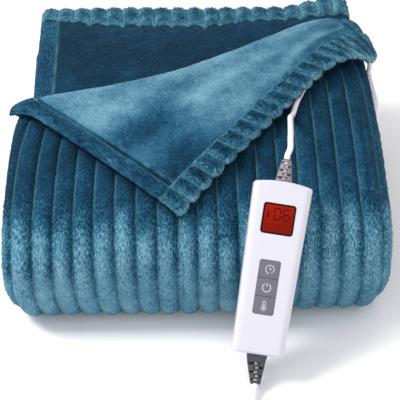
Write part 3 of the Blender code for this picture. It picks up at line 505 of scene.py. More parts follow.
def zip_faces(first, first_shares, second, second_shares):
    """Triangles between two rows of point numbers whose places differ: each step goes on along the row behind."""
    ends = np.concatenate([first_shares[1:], second_shares[1:]])
    owner = np.concatenate([np.zeros(len(first) - 1, int), np.ones(len(second) - 1, int)])
    owner = owner[np.argsort(ends, kind="stable")]
    i = np.cumsum(owner == 0) - (owner == 0)
    j = np.cumsum(owner == 1) - (owner == 1)
    on_first = owner == 0
    third = np.where(on_first, first[np.minimum(i + 1, len(first) - 1)], second[np.minimum(j + 1, len(second) - 1)])
    return np.stack([first[i], third, second[j]], -1)


def mesh_object(name, points, faces, values=None, uv=None):
    """A smooth piece from points, arrays of faces, and values and a place in the UV map for each point."""
    mesh = bpy.data.meshes.new(name)
    corners = np.concatenate([f.ravel() for f in faces]).astype(np.int32)
    sizes = np.concatenate([np.full(len(f), f.shape[1]) for f in faces])
    starts = np.concatenate([[0], np.cumsum(sizes)[:-1]]).astype(np.int32)
    mesh.vertices.add(len(points))
    mesh.vertices.foreach_set("co", np.asarray(points, np.float32).ravel())
    mesh.loops.add(len(corners))
    mesh.loops.foreach_set("vertex_index", corners)
    mesh.polygons.add(len(sizes))
    mesh.polygons.foreach_set("loop_start", starts)
    mesh.update(calc_edges=True)
    mesh.validate()
    for key, value in (values or {}).items():
        layer = mesh.attributes.new(key, "FLOAT", "POINT")
        layer.data.foreach_set("value", np.asarray(value, np.float32).ravel())
    if uv is not None:
        layer = mesh.uv_layers.new(name="UVMap")
        layer.data.foreach_set("uv", np.asarray(uv, np.float32)[corners].ravel())
    mesh.shade_smooth()
    piece = bpy.data.objects.new(name, mesh)
    bpy.context.scene.collection.objects.link(piece)
    return piece


def loft(name, loops, values=None):
    """A closed piece through loops of equally many points, with a flat face at each end.

    Each loop runs anticlockwise seen from the last one's side. The UV map is share round by share along."""
    loops = np.asarray(loops, float)
    rows, count = loops.shape[:2]
    index = np.arange(rows * count).reshape(rows, count)
    faces = [grid_faces(index, closed=True), index[:1, ::-1], index[-1:]]
    share = np.stack(np.meshgrid(np.arange(count) / count, np.linspace(0, 1, rows)), -1).reshape(-1, 2)
    return mesh_object(name, loops.reshape(-1, 3), faces, values, share)


def placed(points, place):
    """Points of the controller's own axes in the row frame: origin + x across + y ahead + z out."""
    axes, origin = place
    return np.asarray(points, float) @ axes + origin


def rounded_outline(corners, radius, count):
    """A closed outline through corners, each rounded by an arc that touches both its sides."""
    corners = np.asarray(corners, float)
    before = unit(np.roll(corners, 1, axis=0) - corners)
    after = unit(np.roll(corners, -1, axis=0) - corners)
    half = 0.5 * np.arccos(np.sum(before * after, axis=1))[:, None]
    centre = corners + unit(before + after) * radius / np.sin(half)
    start = corners + before * radius / np.tan(half) - centre
    stop = corners + after * radius / np.tan(half) - centre
    share = np.linspace(0, 1, count + 1)[None, :, None]
    spoke = unit(blend(start[:, None], stop[:, None], share)) * radius
    return (centre[:, None] + spoke).reshape(-1, 2)


def box_corners(width, height, at=(0.0, 0.0)):
    """The four corners of a box round a middle, anticlockwise."""
    signs = np.array(((-1, -1), (1, -1), (1, 1), (-1, 1)))
    return signs * np.array((width, height)) * 0.5 + np.array(at)


def at_height(outline, height):
    """A flat outline lifted to a height."""
    return np.column_stack([outline, np.full(len(outline), height)])


# ---- outer layer
def outer_section():
    """Length, back position, height and heading along the middle of the outer layer: the heading's running sums."""
    heading = [np.zeros(1)]
    for length, turn in OUTER_BENDS:
        count = round(length / SECTION_STEP)
        heading.append(heading[-1][-1] + radians(turn) * np.arange(1, count + 1) / count)
    heading = np.concatenate(heading)
    middle = 0.5 * (heading[1:] + heading[:-1])
    back = OUTER_START_Y + np.concatenate([[0.0], np.cumsum(-np.cos(middle) * SECTION_STEP)])
    height = FLAT_RISE + np.concatenate([[0.0], np.cumsum(np.sin(middle) * SECTION_STEP)])
    return np.arange(len(heading)) * SECTION_STEP, back, height, heading


SECTION_S, SECTION_Y, SECTION_Z, SECTION_TURN = outer_section()
FRONT_INDEX = int(np.argmin(SECTION_Y))


def section_at(along):
    """Back position, height and outward normal of the outer layer's middle at a length along it."""
    back = np.interp(along, SECTION_S, SECTION_Y)
    height = np.interp(along, SECTION_S, SECTION_Z)
    turn = np.interp(along, SECTION_S, SECTION_TURN)
    return back, height, -np.sin(turn), -np.cos(turn)


def along_top(back):
    """Length at which the top of the outer layer is this far back."""
    return np.interp(back, SECTION_Y[FRONT_INDEX:], SECTION_S[FRONT_INDEX:])


def outer_point(across, along, rise=0.0, inner_across=None):
    """Point and normal over the outer layer, whose sides roll down round a radius.

    The section gives y and z, and the roll adds x = flat + r sin(t) and a drop of r (1 - cos(t))."""
    across, along = np.broadcast_arrays(np.asarray(across, float), np.asarray(along, float))
    back, height, normal_y, normal_z = section_at(along)
    past = np.maximum(np.abs(across) - FLAT_HALF, 0.0)
    turn = np.minimum(past / EDGE_RADIUS, EDGE_TURN)
    straight = past - turn * EDGE_RADIUS
    side = np.sign(across)
    flat = np.minimum(np.abs(across), FLAT_HALF)
    x = side * (flat + EDGE_RADIUS * np.sin(turn) + straight * np.cos(turn))
    drop = EDGE_RADIUS * (1 - np.cos(turn)) + straight * np.sin(turn)
    if inner_across is not None:
        rolled = ease(*EDGE_FADE, along)
        x = blend(inner_across, x, rolled)
        drop = drop * rolled
        turn = turn * rolled
    normal = np.stack([side * np.sin(turn), np.cos(turn) * normal_y, np.cos(turn) * normal_z], -1)
    point = np.stack([x, back - drop * normal_y, height - drop * normal_z], -1)
    return point + normal * np.broadcast_to(rise, x.shape)[..., None], normal


# ---- inner layers
def shelf(back):
    """Heights between which the inner layers are shared out."""
    _, top, _, _ = section_at(along_top(back))
    return FLAT_RISE + BACK_RISE + 0.5 * LAYER_GAP, top - BACK_RISE - 0.5 * LAYER_GAP


def layer_height(layer, back):
    """Height of an inner layer's middle; layer 0 is the underside."""
    low, high = shelf(back)
    if layer == 0:
        return FLAT_RISE + 0.0 * low
    return low + (high - low) * (layer - 0.5) / LAYERS


def layer_thickness(back):
    """Thickness of a layer where the heights between underside and top are shared out."""
    low, high = shelf(back)
    return np.minimum((high - low) / LAYERS - LAYER_GAP, LAYER_THICKEST)


def front_centre(height, reach):
    """Furthest forward that a fold of this reach can lie at this height, clear of the outer layer."""
    places = np.arange(SECTION_Y.min(), 0.0, SECTION_STEP)
    away = np.hypot(SECTION_Y[None] - places[:, None], SECTION_Z[None] - height).min(1)
    clear = places[away > reach]
    return float(clear[0]) if len(clear) else 0.0


def front_end(layer):
    """Centre of the front fold that this layer shares with its neighbour."""
    lower = layer - 1 if layer % 2 == 0 else layer
    centre = SECTION_Y.min() + 0.03
    for _ in range(4):
        low = layer_height(lower, centre)
        high = layer_height(lower + 1, centre)
        reach = 0.5 * (high - low) + 0.5 * layer_thickness(centre) + BACK_RISE + LAYER_GAP
        centre = front_centre(0.5 * (low + high), reach)
    return centre


def settle(points):
    """The soft lean, bow, sag and tuck of the whole stack. Height 0 stays at 0."""
    x, y, z = points[..., 0], points[..., 1], points[..., 2]
    lean = LEAN_X * np.sin(9.0 * y + 1.0) * ease(0.0, 0.06, z)
    bow = BOW_Y * (0.4 - np.cos(7.0 * (x + 0.03))) * (1.0 - ease(-0.10, 0.0, y))
    low_side = ease(0.05, 0.20, -x) + 0.5 * ease(0.12, 0.20, x)
    tuck = 1.0 - TUCK_X * (1.0 - ease(0.0, TUCK_HEIGHT, z))
    return np.stack([x * tuck + lean, y + bow, z * (1.0 - SAG_Z * low_side)], -1)


# ---- faces of the cloth
def lobe(ribs_across):
    """Rounded section of a rib: sin(pi p)^0.6, 0 in the valleys and 1 over the crown."""
    return np.abs(np.sin(pi * np.mod(ribs_across, 1.0))) ** 0.6


def valley(ribs_across, width):
    """1 in a valley between ribs and 0 away from it: a bell over the distance to the nearest valley."""
    nearest = np.abs(ribs_across - np.round(ribs_across))
    return hump(0.0, width, nearest)


def rounded_edge(inwards, radius):
    """Share of a face's height near its edge: a quarter circle, 0 at the edge and 1 from the radius inwards."""
    share = np.clip(inwards / radius, 0.0, 1.0)
    return np.sqrt(np.clip(1 - (1 - share) ** 2, 0.0, 1.0))


def from_sides(columns):
    """Distance inwards from the nearer side edge."""
    return np.minimum(columns, RIBS - columns) * RIB_PITCH


def valley_rise(edge):
    """Height of the ribs' valleys over the middle: lower where the side edge is rounded."""
    return VALLEY_RISE * (0.25 + 0.75 * edge)


def back_rise(edge):
    """Depth of the smooth face below the middle: thinner where the side edge is rounded."""
    return BACK_RISE * (0.15 + 0.85 * edge)


def ribbed_columns(ribs):
    """Rib coordinates of the columns over a ribbed width."""
    places = np.arange(ribs)[:, None] + np.array(RIB_PLACES)
    return np.append(places.ravel(), float(ribs))


def plain_columns(ribs, spacing):
    """Rib coordinates of the columns over a plain face, close together at its two side hems."""
    side = np.array(SIDE_PLACES) / RIB_PITCH
    inside = np.arange(side[-1] + spacing, ribs - side[-1] - 0.5 * spacing, spacing)
    return np.concatenate([side, inside, ribs - side[::-1]])


class Band:
    """Rows of the cloth that have the same columns on each face, with what its finish reads at each point."""

    def __init__(self):
        self.faces = {}

    def face(self, name, columns, point, normal, rise, **marks):
        """Add a face: middle + normal * rise, settled, with its marks spread over the grid."""
        point = np.asarray(point, float)
        shape = point.shape[:2]
        points = settle(point + normal * np.broadcast_to(rise, shape)[..., None])
        marks = {key: np.broadcast_to(marks.get(key, 0.0), shape) for key in MARKS}
        self.faces[name] = (columns / columns[-1], points, columns, marks)
        return self


def join_bands(name, bands, unevenness):
    """One closed piece from bands of rows: grids for each face, zipped to the next band, and walls round them.

    Each point then moves along its normal by bell-shaped noise times the unevenness."""
    points, faces, places = [], [], []
    marks = {key: [] for key in MARKS}
    count = 0
    edges = {}
    for face, flip in (("ribbed", False), ("smooth", True)):
        previous = None
        run = 0.0
        rows = []
        for band in bands:
            shares, grid, columns, found = band.faces[face]
            m, n = grid.shape[:2]
            index = count + np.arange(m * n).reshape(m, n)
            count += m * n
            points.append(grid.reshape(-1, 3))
            middle = grid[:, n // 2]
            if previous is not None:
                run += np.linalg.norm(middle[0] - previous[2])
            down = run + run_along(middle)
            run = down[-1]
            places.append(np.stack(np.broadcast_arrays(columns[None] * RIB_PITCH, down[:, None]), -1).reshape(-1, 2))
            for key in MARKS:
                marks[key].append(found[key].reshape(-1))
            quads = grid_faces(index)
            faces.append(quads[:, ::-1] if flip else quads)
            if previous is not None:
                joint = zip_faces(previous[0], previous[1], index[0], shares)
                faces.append(joint[:, ::-1] if flip else joint)
            previous = (index[-1], shares, middle[-1])
            rows.append((index, shares))
        edges[face] = rows
    ribbed, smooth = edges["ribbed"], edges["smooth"]
    faces.append(zip_faces(ribbed[0][0][0], ribbed[0][1], smooth[0][0][0], smooth[0][1])[:, ::-1])
    faces.append(zip_faces(ribbed[-1][0][-1], ribbed[-1][1], smooth[-1][0][-1], smooth[-1][1]))
    for side, flip in ((0, False), (-1, True)):
        wall = np.stack([np.concatenate([index[:, side] for index, _ in rows]) for rows in (ribbed, smooth)], -1)
        quads = grid_faces(wall)
        faces.append(quads if flip else quads[:, ::-1])
    points = np.concatenate(points)
    values = {key: np.concatenate(parts) for key, parts in marks.items()}
    piece = mesh_object(name, points, faces, values, np.concatenate(places))
    above = ease(*UNEVEN_ABOVE, points[:, 2])
    offset = np.random.default_rng(11).normal(size=len(points)) * unevenness * above
    points = points + read_floats(piece.data.vertices, "normal", 3) * offset[:, None]
    points[:, 2] = np.maximum(points[:, 2], 0.0)
    piece.data.vertices.foreach_set("co", points.astype(np.float32).ravel())
    piece.data.update()
    return piece


def read_floats(items, key, width):
    """An attribute of a mesh's items as an array with this many numbers in a row."""
    values = np.empty(len(items) * width, np.float32)
    items.foreach_get(key, values)
    return values.reshape(-1, width).astype(float)


def pile_fibres(cloth, count, length):
    """Short tapered tufts of the pile, closed pyramids of three sides.

    Roots are drawn on the cloth's triangles by area times pile weight.
    tip = root + length * way, where way is the unit vector of normal + lean + chance."""
    mesh = cloth.data
    mesh.calc_loop_triangles()
    corners = np.empty(len(mesh.loop_triangles) * 3, np.int32)
    mesh.loop_triangles.foreach_get("vertices", corners)
    loops = np.empty_like(corners)
    mesh.loop_triangles.foreach_get("loops", loops)
    corners, loops = corners.reshape(-1, 3), loops.reshape(-1, 3)
    points = read_floats(mesh.vertices, "co", 3)
    normals = read_floats(mesh.vertices, "normal", 3)
    marks = {key: read_floats(mesh.attributes[key].data, "value", 1) for key in MARKS}
    places = read_floats(mesh.uv_layers[0].data, "uv", 2)
    a, b, c = (points[corners[:, i]] for i in range(3))
    chance = np.linalg.norm(np.cross(b - a, c - a), axis=1) * marks["pile"][corners].mean((1, 2))
    random = np.random.default_rng(91)
    chosen = random.choice(len(chance), count, p=chance / chance.sum())
    share = random.dirichlet((1.0, 1.0, 1.0), count)[..., None]
    root, normal, nap, crease, plush = ((values[corners[chosen]] * share).sum(1) for values in
                                        (points, normals, marks["nap"], marks["crease"], marks["plush"]))
    place = (places[loops[chosen]] * share).sum(1)
    normal = unit(normal)
    lean = PILE_LEAN - normal * (normal @ PILE_LEAN)[:, None] + TUFT_CHANCE * random.normal(size=(count, 3))
    way = unit(TUFT_UPRIGHT * normal + lean)
    reach = length * random.uniform(*TUFT_LENGTHS, (count, 1)) * (1 - 0.4 * plush)
    side = unit(np.cross(way, random.normal(size=(count, 3))))
    other = np.cross(way, side)
    half = TUFT_HALF_WIDTH * reach
    foot = root - normal * TUFT_ROOT
    rings = [foot + half * side, foot - half * (0.5 * side - 0.87 * other), foot - half * (0.5 * side + 0.87 * other)]
    tip = root + way * reach
    grid = np.stack([*rings, tip], 1)
    grid[..., 2] = np.maximum(grid[..., 2], 0.0)
    index = 4 * np.arange(count)[:, None]
    faces = [index + np.array(f) for f in ((0, 2, 1), (0, 1, 3), (1, 2, 3), (2, 0, 3))]
    # Each tuft's tone: painted shade at its root and a painted highlight at its tip, with random tone
    tone = nap + 0.09 * random.normal(size=(count, 1)) + np.array((-0.05, -0.05, -0.05, 0.07))
    values = {"nap": tone, "crease": np.repeat(crease, 4, 1), "plush": np.repeat(plush, 4, 1)}
    piece = mesh_object("pile_tufts", grid.reshape(-1, 3), faces, values, np.repeat(place, 4, axis=0))
    piece.data.normals_split_custom_set_from_vertices(unit(np.repeat(0.75 * normal + 0.25 * way, 4, axis=0)))
    return piece


def shown_width(back):
    """Left edge and width of the shown layer: narrower at the front, flared to the right at the back."""
    left, right, _ = INNER_LAYERS[-1]
    narrower = FRONT_NARROWING * (1.0 - ease(*NARROWING_Y, back))
    flare = SHOWN_FLARE * ease(*SHOWN_FLARE_Y, back)
    return left + narrower, right + flare - left - 2 * narrower


def back_hem_stretch(share):
    """How much deeper the back hem is at a share of its width: fuller left of the middle."""
    return 1.15 + 0.50 * ease(0.02, 0.25, share) * (1 - ease(0.52, 0.72, share))


def shown_place(share, back, lift):
    """Middle of the shown layer at a share of its width, and that width."""
    left, width = shown_width(back)
    return np.stack([left + width * share, back, layer_height(LAYERS, back) + lift], -1), width


def shown_end(share):
    """How far back the shown layer reaches before its hem, which runs askew."""
    even, most = BACK_SKEW_SHARES
    return INNER_LAYERS[-1][2] + BACK_SKEW * (even - np.minimum(share, most))


def shown_lift(share):
    """How far the shown layer's right end lifts off the stack."""
    return BACK_LIFT * ease(*BACK_LIFT_FROM, share)


def back_hem_band(rib_height):
    """The shown layer's scalloped back hem: y = end + depth + scallop * lobe, puffed over each rib."""
    columns = ribbed_columns(SHOWN_RIBS)[None]
    share = columns / SHOWN_RIBS
    fat = 1.0 + 0.5 * ease(16.0, 18.5, columns)
    bump = lobe(columns)
    half = 0.5 * float(layer_thickness(INNER_LAYERS[-1][2]))
    inwards = np.array(BACK_HEM_ROWS)[:, None]
    ragged = 0.0012 * waves(3, columns * 5.0) + 0.0008 * waves(4, columns * 11.0)
    depth = inwards / (BACK_HEM_DEPTH + SCALLOP * bump)
    back = shown_end(share) + BACK_HEM_DEPTH + SCALLOP * bump
    back = back - inwards * back_hem_stretch(share) - 0.003 * hump(0.5, 0.3, share)
    point, _ = shown_place(share, back, shown_lift(share) * (1.0 - 0.6 * np.clip(depth, 0, 1)))
    side = rounded_edge(np.minimum(share, 1 - share) * 0.35, LAYER_ROLL)
    tip = rounded_edge(inwards, BACK_TIP_ROUND)
    end = 1 - ease(0.0272, 0.0300, inwards + ragged)
    puff = HEM_PUFF * fat * (0.25 + 0.75 * bump) * end
    rise = half * (0.7 + 0.3 * bump) * tip * (0.2 + 0.8 * side)
    smooth = (half * (0.75 + 0.25 * bump * end) * side + puff * side) * tip + 0.0002
    seam = hump(0.0288, 0.0011, inwards + ragged)
    lines = valley(columns, 0.055) * end
    # Tone of the hem with painted light and shade: highlights at the lobes' tips and between them, shade in each
    # lobe's middle, lighter towards both ends, painted shadow past its seam
    nap = 0.52 + 0.42 * ease(0.008, 0.0, inwards) + 0.24 * (1 - bump) + 0.09 * waves(5, columns * 3, inwards * 300)
    nap = nap - 0.16 * hump(0.55, 0.22, np.mod(columns, 1.0)) * ease(0.002, 0.008, inwards)
    nap = nap + 0.12 * ease(0.2, 0.02, share) + 0.16 * ease(0.72, 0.95, share)
    nap = blend(0.03, nap, end)
    band = Band()
    # The ribbed underside is a darker copy: painted shade
    band.face("ribbed", columns[0], point, DOWN, rise + rib_height * 0.35 * bump * tip * side, nap=nap * 0.8)
    band.face("smooth", columns[0], point, DOWN, -smooth, nap=nap, crease=np.maximum(lines, seam * 0.75),
              plush=1 - end, pile=0.4 + 2.6 * end)
    return band


def side_hem(inwards, puff, seam_depth):
    """Height over a plain side hem: a rounded roll, then the seam's groove."""
    roll = puff * ease(*HEM_ROLL_START, inwards) * (1 - ease(*HEM_ROLL_END, inwards))
    return roll - seam_depth * hump(*HEM_GROOVE, inwards)


def shown_panel_band():
    """The smooth panel behind the turned-down corner: level rows of the shown layer, with a side hem at the left."""
    near = front_end(LAYERS)
    band = Band()
    for face, columns in (("ribbed", plain_columns(RIBS, 2.0)), ("smooth", plain_columns(RIBS, 0.45))):
        share = columns[None] / RIBS
        start = shown_end(share) - 0.0030 - 0.003 * hump(0.5, 0.3, share)
        start = start - 0.0325 * (back_hem_stretch(share) - 1.0)
        down = np.concatenate([np.linspace(0, 0.12, 6), np.linspace(0.14, 1.0, 30)])[:, None]
        back = start + (near - start) * down
        point, width = shown_place(share, back, shown_lift(share) * 0.4 * (1 - ease(0.0, 0.12, down)))
        half = 0.5 * layer_thickness(back)
        from_left = share * width
        edge = rounded_edge(np.minimum(from_left, width - from_left), LAYER_ROLL)
        if face == "ribbed":
            band.face(face, columns, point, DOWN, half * edge, nap=0.10)
            continue
        hem = side_hem(from_left, 0.0012, 0.0012)
        cloud = waves(21, point[..., 0] * 34, point[..., 1] * 34)
        # Painted shade on the panel next to the diagonal fold
        painted_fold_shade = ease(0.030, 0.0, np.abs(back - fold_back(point[..., 0])))
        nap = 0.03 + 0.04 * cloud + 0.04 * ease(0.10, 0.02, back)
        band_nap = 0.27 + 0.06 * waves(22, point[..., 0] * 90, point[..., 1] * 40)
        in_hem = 1 - ease(*SIDE_HEM_END, from_left)
        nap = blend(nap, band_nap, in_hem)
        seam = hump(SIDE_SEAM, 0.0011, from_left) * (0.7 + 0.2 * waves(23, back * 160))
        band.face(face, columns, point, DOWN, -(half + 0.0004 * cloud + hem) * edge - 0.0002,
                  nap=nap * (1 - 0.4 * painted_fold_shade), crease=seam, plush=1 - 0.6 * in_hem, pile=0.35 + 1.2 * in_hem)
    return band


def fold_back(x):
    """How far back the diagonal fold lies at a place across the top."""
    return np.interp(x, CORNER[:, 1], CORNER[:, 2])


def inner_path():
    """Stations of the folded layers from the shown one's front fold down to the underside.

    Each is back, height, left, right, thickness, and how far round a back fold it is."""
    stations = []
    for layer in range(LAYERS, 0, -1):
        left, right, far = INNER_LAYERS[layer - 1]
        near = front_end(layer)
        first, last, side = (far, near, -1) if layer % 2 == 0 else (near, far, 1)
        if layer < LAYERS:
            back = first + (last - first) * np.array(RUN_PLACES)
            stations.append(np.stack([back, layer_height(layer, back), left + 0 * back, right + 0 * back,
                                      layer_thickness(back), 0 * back], -1))
        low, high = float(layer_height(layer - 1, last)), float(layer_height(layer, last))
        next_left, next_right, _ = INNER_LAYERS[max(layer - 2, 0)]
        turn = np.linspace(pi, 0, 13)[1:-1]
        radius = 0.5 * (high - low)
        share = 0.5 + 0.5 * np.cos(turn)
        stations.append(np.stack([
            last + side * radius * np.sin(turn), 0.5 * (low + high) - radius * np.cos(turn),
            left + (next_left - left) * share, right + (next_right - right) * share,
            layer_thickness(last) + 0 * turn, np.sin(turn) * (side > 0)], -1))
    return stations


def inner_bands(rib_height):
    """The layers between: straight runs with rolled side edges, and half circles whose outside shows its ribs."""
    runs = inner_path()
    line = np.concatenate(runs)
    ahead = unit(np.gradient(line[:, :2], axis=0))
    length = run_along(line[:, :2])
    bands = []
    at = 0
    for rows in runs:
        rows_ahead = ahead[at : at + len(rows)]
        s = length[at : at + len(rows), None]
        at += len(rows)
        back, height, left, right, thickness, round_back = (rows[:, i, None] for i in range(6))
        shows_ribs = bool(round_back.max() > 0)
        band = Band()
        for face in ("ribbed", "smooth"):
            columns = ribbed_columns(RIBS) if face == "ribbed" and shows_ribs else plain_columns(RIBS, 3.2)
            share = columns[None] / RIBS
            narrower = FRONT_NARROWING * (1.0 - ease(*NARROWING_Y, back))
            start = left + narrower + 0.0016 * waves(31, s * 42) - 0.0006
            stop = right - narrower + 0.0013 * waves(32, s * 39) - 0.0004
            width = stop - start
            inwards = np.minimum(share, 1 - share) * width
            droop = 0.0009 * waves(33, s * 26) * ease(0.03, 0.0, inwards)
            point = np.stack(np.broadcast_arrays(start + width * share, back, height + droop), -1)
            normal = np.stack([0 * rows_ahead[:, 0], -rows_ahead[:, 1], rows_ahead[:, 0]], -1)[:, None]
            edge = rounded_edge(inwards, LAYER_ROLL)
            half = 0.5 * thickness * (edge * 0.9 + 0.1)
            hem = 0.0004 * (1 - ease(0.018, 0.022, inwards))
            nap = 0.30 + 0.09 * waves(34, s * 70, share * 30) + 0.12 * ease(0.010, 0.0, inwards)
            if face == "ribbed":
                bump = lobe(columns[None]) if shows_ribs else 0.5
                out = rib_height * 0.62 * round_back * (bump - 0.25) * edge
                # Painted highlight lines and painted light on the rib crowns, painted shade in their valleys, round
                # the back folds
                lines = valley(columns[None], 0.06) * round_back * 0.55 if shows_ribs else 0.0
                nap = nap + (0.10 * (bump - 0.5) if shows_ribs else 0.0)
                band.face(face, columns, point, normal, half + out, nap=nap, crease=lines)
            else:
                seam = hump(SIDE_SEAM, 0.0010, inwards) * 0.4
                band.face(face, columns, point, normal, -half - hem * edge, nap=nap, crease=seam, plush=0.6)
        bands.append(band)
    return bands


def under_corner(across, along):
    """1 where the turned-down corner lies over this place on the top, 0 in the open."""
    edge_across = np.append(CORNER[0, 1], CORNER[:, 3])
    edge_back = np.append(CORNER[0, 2], CORNER[:, 4])
    return ease(*PRESSED_FROM, along - along_top(np.interp(across, edge_across, edge_back)))


def creases(columns, along):
    """Depth of the creases pressed into the front's ribs: a bell across each, faded at both its ends."""
    depth = 0.0
    for place, width, deep, low, high in CREASES:
        wander = place + 0.05 * np.sin(along * 40 + place)
        length = ease(low, low + 0.03, along) * (1 - ease(high - 0.03, high, along))
        depth = depth + deep * hump(wander, width, columns) * length
    return depth


def outer_face(columns, along, ribbed_face, rib_height, fold_across=0.0, gathered=0.0):
    """Middle, normal, rise and marks of the outer layer: ribs over its section, pressed flat under the stack."""
    left, right, _ = INNER_LAYERS[0]
    inner = left + (right - left) * columns / RIBS
    wander = 0.035 * waves(41, columns * 0.9, along * 17) * ease(0.30, 0.36, along)
    across = (columns - 0.5 * RIBS + wander * ease(0.5, 1.5, np.minimum(columns, RIBS - columns))) * RIB_PITCH
    across = across + (fold_across - across) * gathered
    point, normal = outer_point(across, along, 0.0, np.broadcast_to(inner, np.broadcast(across, along).shape))
    edge = rounded_edge(from_sides(columns), EDGE_ROLL)
    if not ribbed_face:
        return point, normal, -back_rise(edge), {"nap": 0.25, "plush": 1.0}
    ribbed = ease(*RIB_FADE, along)
    open_air = 1 - under_corner(across, along)
    uneven = 1 + 0.10 * waves(42, columns * 1.3, along * 30)
    height = rib_height * (PRESSED + (1 - PRESSED) * open_air) * uneven
    bump = lobe(columns)
    rise = FLAT_RISE * (1 - ribbed) + (valley_rise(edge) + height * bump) * ribbed
    pressed = creases(columns, along)
    rise = rise - pressed * ribbed * bump
    _, above_floor, _, normal_z = section_at(along)
    rise = np.where(normal_z < 0, np.minimum(rise, above_floor / np.maximum(-normal_z, 0.1)), rise)
    return point, normal, rise, outer_marks(columns, along, open_air, pressed)


def outer_marks(columns, along, open_air, pressed):
    """Painted light and shade on the ribs: a lit front with a ragged upper edge, a shaded top, shaded right flanks
    and valleys.
    """
    phase = np.mod(columns, 1.0)
    rib = np.floor(columns)
    left_side = ease(2.2, 0.2, columns)
    edge_at = 0.453 + 0.022 * left_side + 0.010 * ease(13.0, 15.0, columns)
    edge_at = edge_at + 0.008 * waves(43, rib * 2.1, phase * 1.5) + 0.006 * waves(44, columns * 2.6, along * 110)
    # Painted light on the front's ribs and painted shade on the top's ribs, split along a ragged edge
    front = 1 - ease(-0.022, 0.020, along - edge_at)
    streaky = ease(0.385, 0.415, along)
    top = 0.11 + 0.025 * waves(45, columns * 1.7, along * 62) + 0.05 * ease(0.45, 0.1, phase)
    top = top + 0.07 * ease(0.53, 0.47, along) + 0.07 * ease(13.0, 15.0, columns) * ease(0.60, 0.52, along)
    # Painted highlight on the left of each front rib
    low = 0.65 + 0.04 * waves(46, columns * 1.5, along * 75) + 0.14 * hump(0.40, 0.20, phase) * (0.2 + 0.8 * streaky)
    nap = blend(top, low, front)
    # Painted shade in each rib's right flank
    shaded_flank = ease(0.62, 0.93, phase)
    nap = nap - shaded_flank * (0.07 + (0.21 * streaky - 0.01) * front)
    # Painted shade in the valleys between the front's ribs
    nap = nap - 0.10 * hump(0.0, 0.05, np.minimum(phase, 1 - phase)) * front
    nap = nap + 0.14 * ease(19.0, 19.5, columns) * ease(0.62, 0.54, along) * (1 - front)
    # Painted shade in the pressed creases and under the turned-down corner
    nap = nap - pressed * 60
    nap = nap * (0.15 + 0.85 * open_air)
    # Thin painted highlight lines between the ribs, strongest on the top
    line = hump(0.0, 0.045, np.minimum(phase, 1 - phase + 0.03)) * open_air
    line = line * blend(0.70, 0.05, front)
    rough = hump(0.440, 0.042, along) + 0.6 * left_side * streaky
    pile = (0.5 + 0.8 * np.clip(rough, 0, 1)) * open_air * ease(0.30, 0.33, along)
    return {"nap": nap, "crease": line, "plush": 1 - np.clip(rough, 0, 1), "pile": pile}


def outer_band(low, high, rows, ribbed_at, smooth_at, rib_height):
    """A band of the outer layer between two lengths along its section."""
    along = np.linspace(low, high, rows)[:, None]
    band = Band()
    for face, columns in (("ribbed", ribbed_at), ("smooth", smooth_at)):
        point, normal, rise, marks = outer_face(columns[None], along, face == "ribbed", rib_height)
        band.face(face, columns, point, normal, rise, **marks)
    return band


def corner(columns):
    """Fold point, end point and roll radius for each rib coordinate, from the corner's table by cubic curves."""
    read = [spline(CORNER[:, 0], CORNER[:, i], columns) for i in range(1, 6)]
    fold = np.stack([read[0], along_top(read[1])], -1)
    end = np.stack([read[2], along_top(read[3])], -1)
    return fold, end, read[4]


def top_band(rib_height):
    """The top, from the shoulder to the diagonal fold, gathered in towards the fold by the cube of the share."""
    share = np.linspace(0.0, 1.0, 64)[1:, None]
    band = Band()
    for face, columns in (("ribbed", ribbed_columns(RIBS)), ("smooth", plain_columns(RIBS, 1.0))):
        fold, _, _ = corner(columns)
        along = SHOULDER_END + (fold[None, :, 1] - SHOULDER_END) * share
        point, normal, rise, marks = outer_face(
            columns[None], along, face == "ribbed", rib_height, fold[None, :, 0], share**3
        )
        band.face(face, columns, point, normal, rise, **marks)
    return band


def fold_band(rib_height):
    """Half a turn round the diagonal fold: the middle at r (1 - cos t) over the top and r sin t past the fold."""
    turn = np.linspace(0, pi, 17)[1:, None]
    band = Band()
    for face, columns in (("ribbed", ribbed_columns(RIBS)), ("smooth", corner_columns())):
        fold, _, radius = corner(columns)
        along_fold = unit(np.gradient(fold, columns, axis=0))
        out = np.stack([-along_fold[:, 1], along_fold[:, 0]], -1)
        uneven = 1 + 0.05 * waves(51, columns * 0.8)
        place = fold[None] + out[None] * (radius * np.sin(turn))[..., None]
        lifted = radius * (1 - np.cos(turn)) * uneven
        point, up = outer_point(place[..., 0], place[..., 1], lifted)
        here, _ = outer_point(place[..., 0], place[..., 1])
        ahead, _ = outer_point(place[..., 0] + 1e-4 * out[:, 0], place[..., 1] + 1e-4 * out[:, 1])
        normal = np.cos(turn)[..., None] * up - np.sin(turn)[..., None] * unit(ahead - here)
        inwards = from_sides(columns)
        edge = rounded_edge(inwards, EDGE_ROLL)
        if face == "ribbed":
            pressed = 1 - (1 - PRESSED) * ease(0.0, 0.5 * pi, turn)
            rise = valley_rise(edge) + rib_height * lobe(columns) * pressed
            band.face(face, columns, point, normal, rise, nap=0.12)
        else:
            marks = corner_marks(columns[None], 0 * turn - 0.05)
            rise = -back_rise(edge) - side_hem(inwards, 0.0010, 0.0008) * edge
            band.face(face, columns, point, normal, rise, **marks)
    return band


def corner_columns():
    """Columns of the corner's smooth face: close together over the side hem and its groove."""
    return plain_columns(RIBS, 0.25)


def troughs(columns, reach):
    """Soft hollows and swellings of the turned-down corner: bells and waves over its ribs and its reach."""
    hollow = hump(0.62, 0.16, reach) * hump(3.2, 2.4, columns)
    hollow = hollow + 0.7 * hump(0.45, 0.12, reach) * hump(7.0, 2.0, columns)
    swell = hump(0.30, 0.16, reach) * hump(4.0, 3.0, columns) + 0.6 * waves(61, columns * 0.55, reach * 6.0)
    return hollow - 0.7 * swell


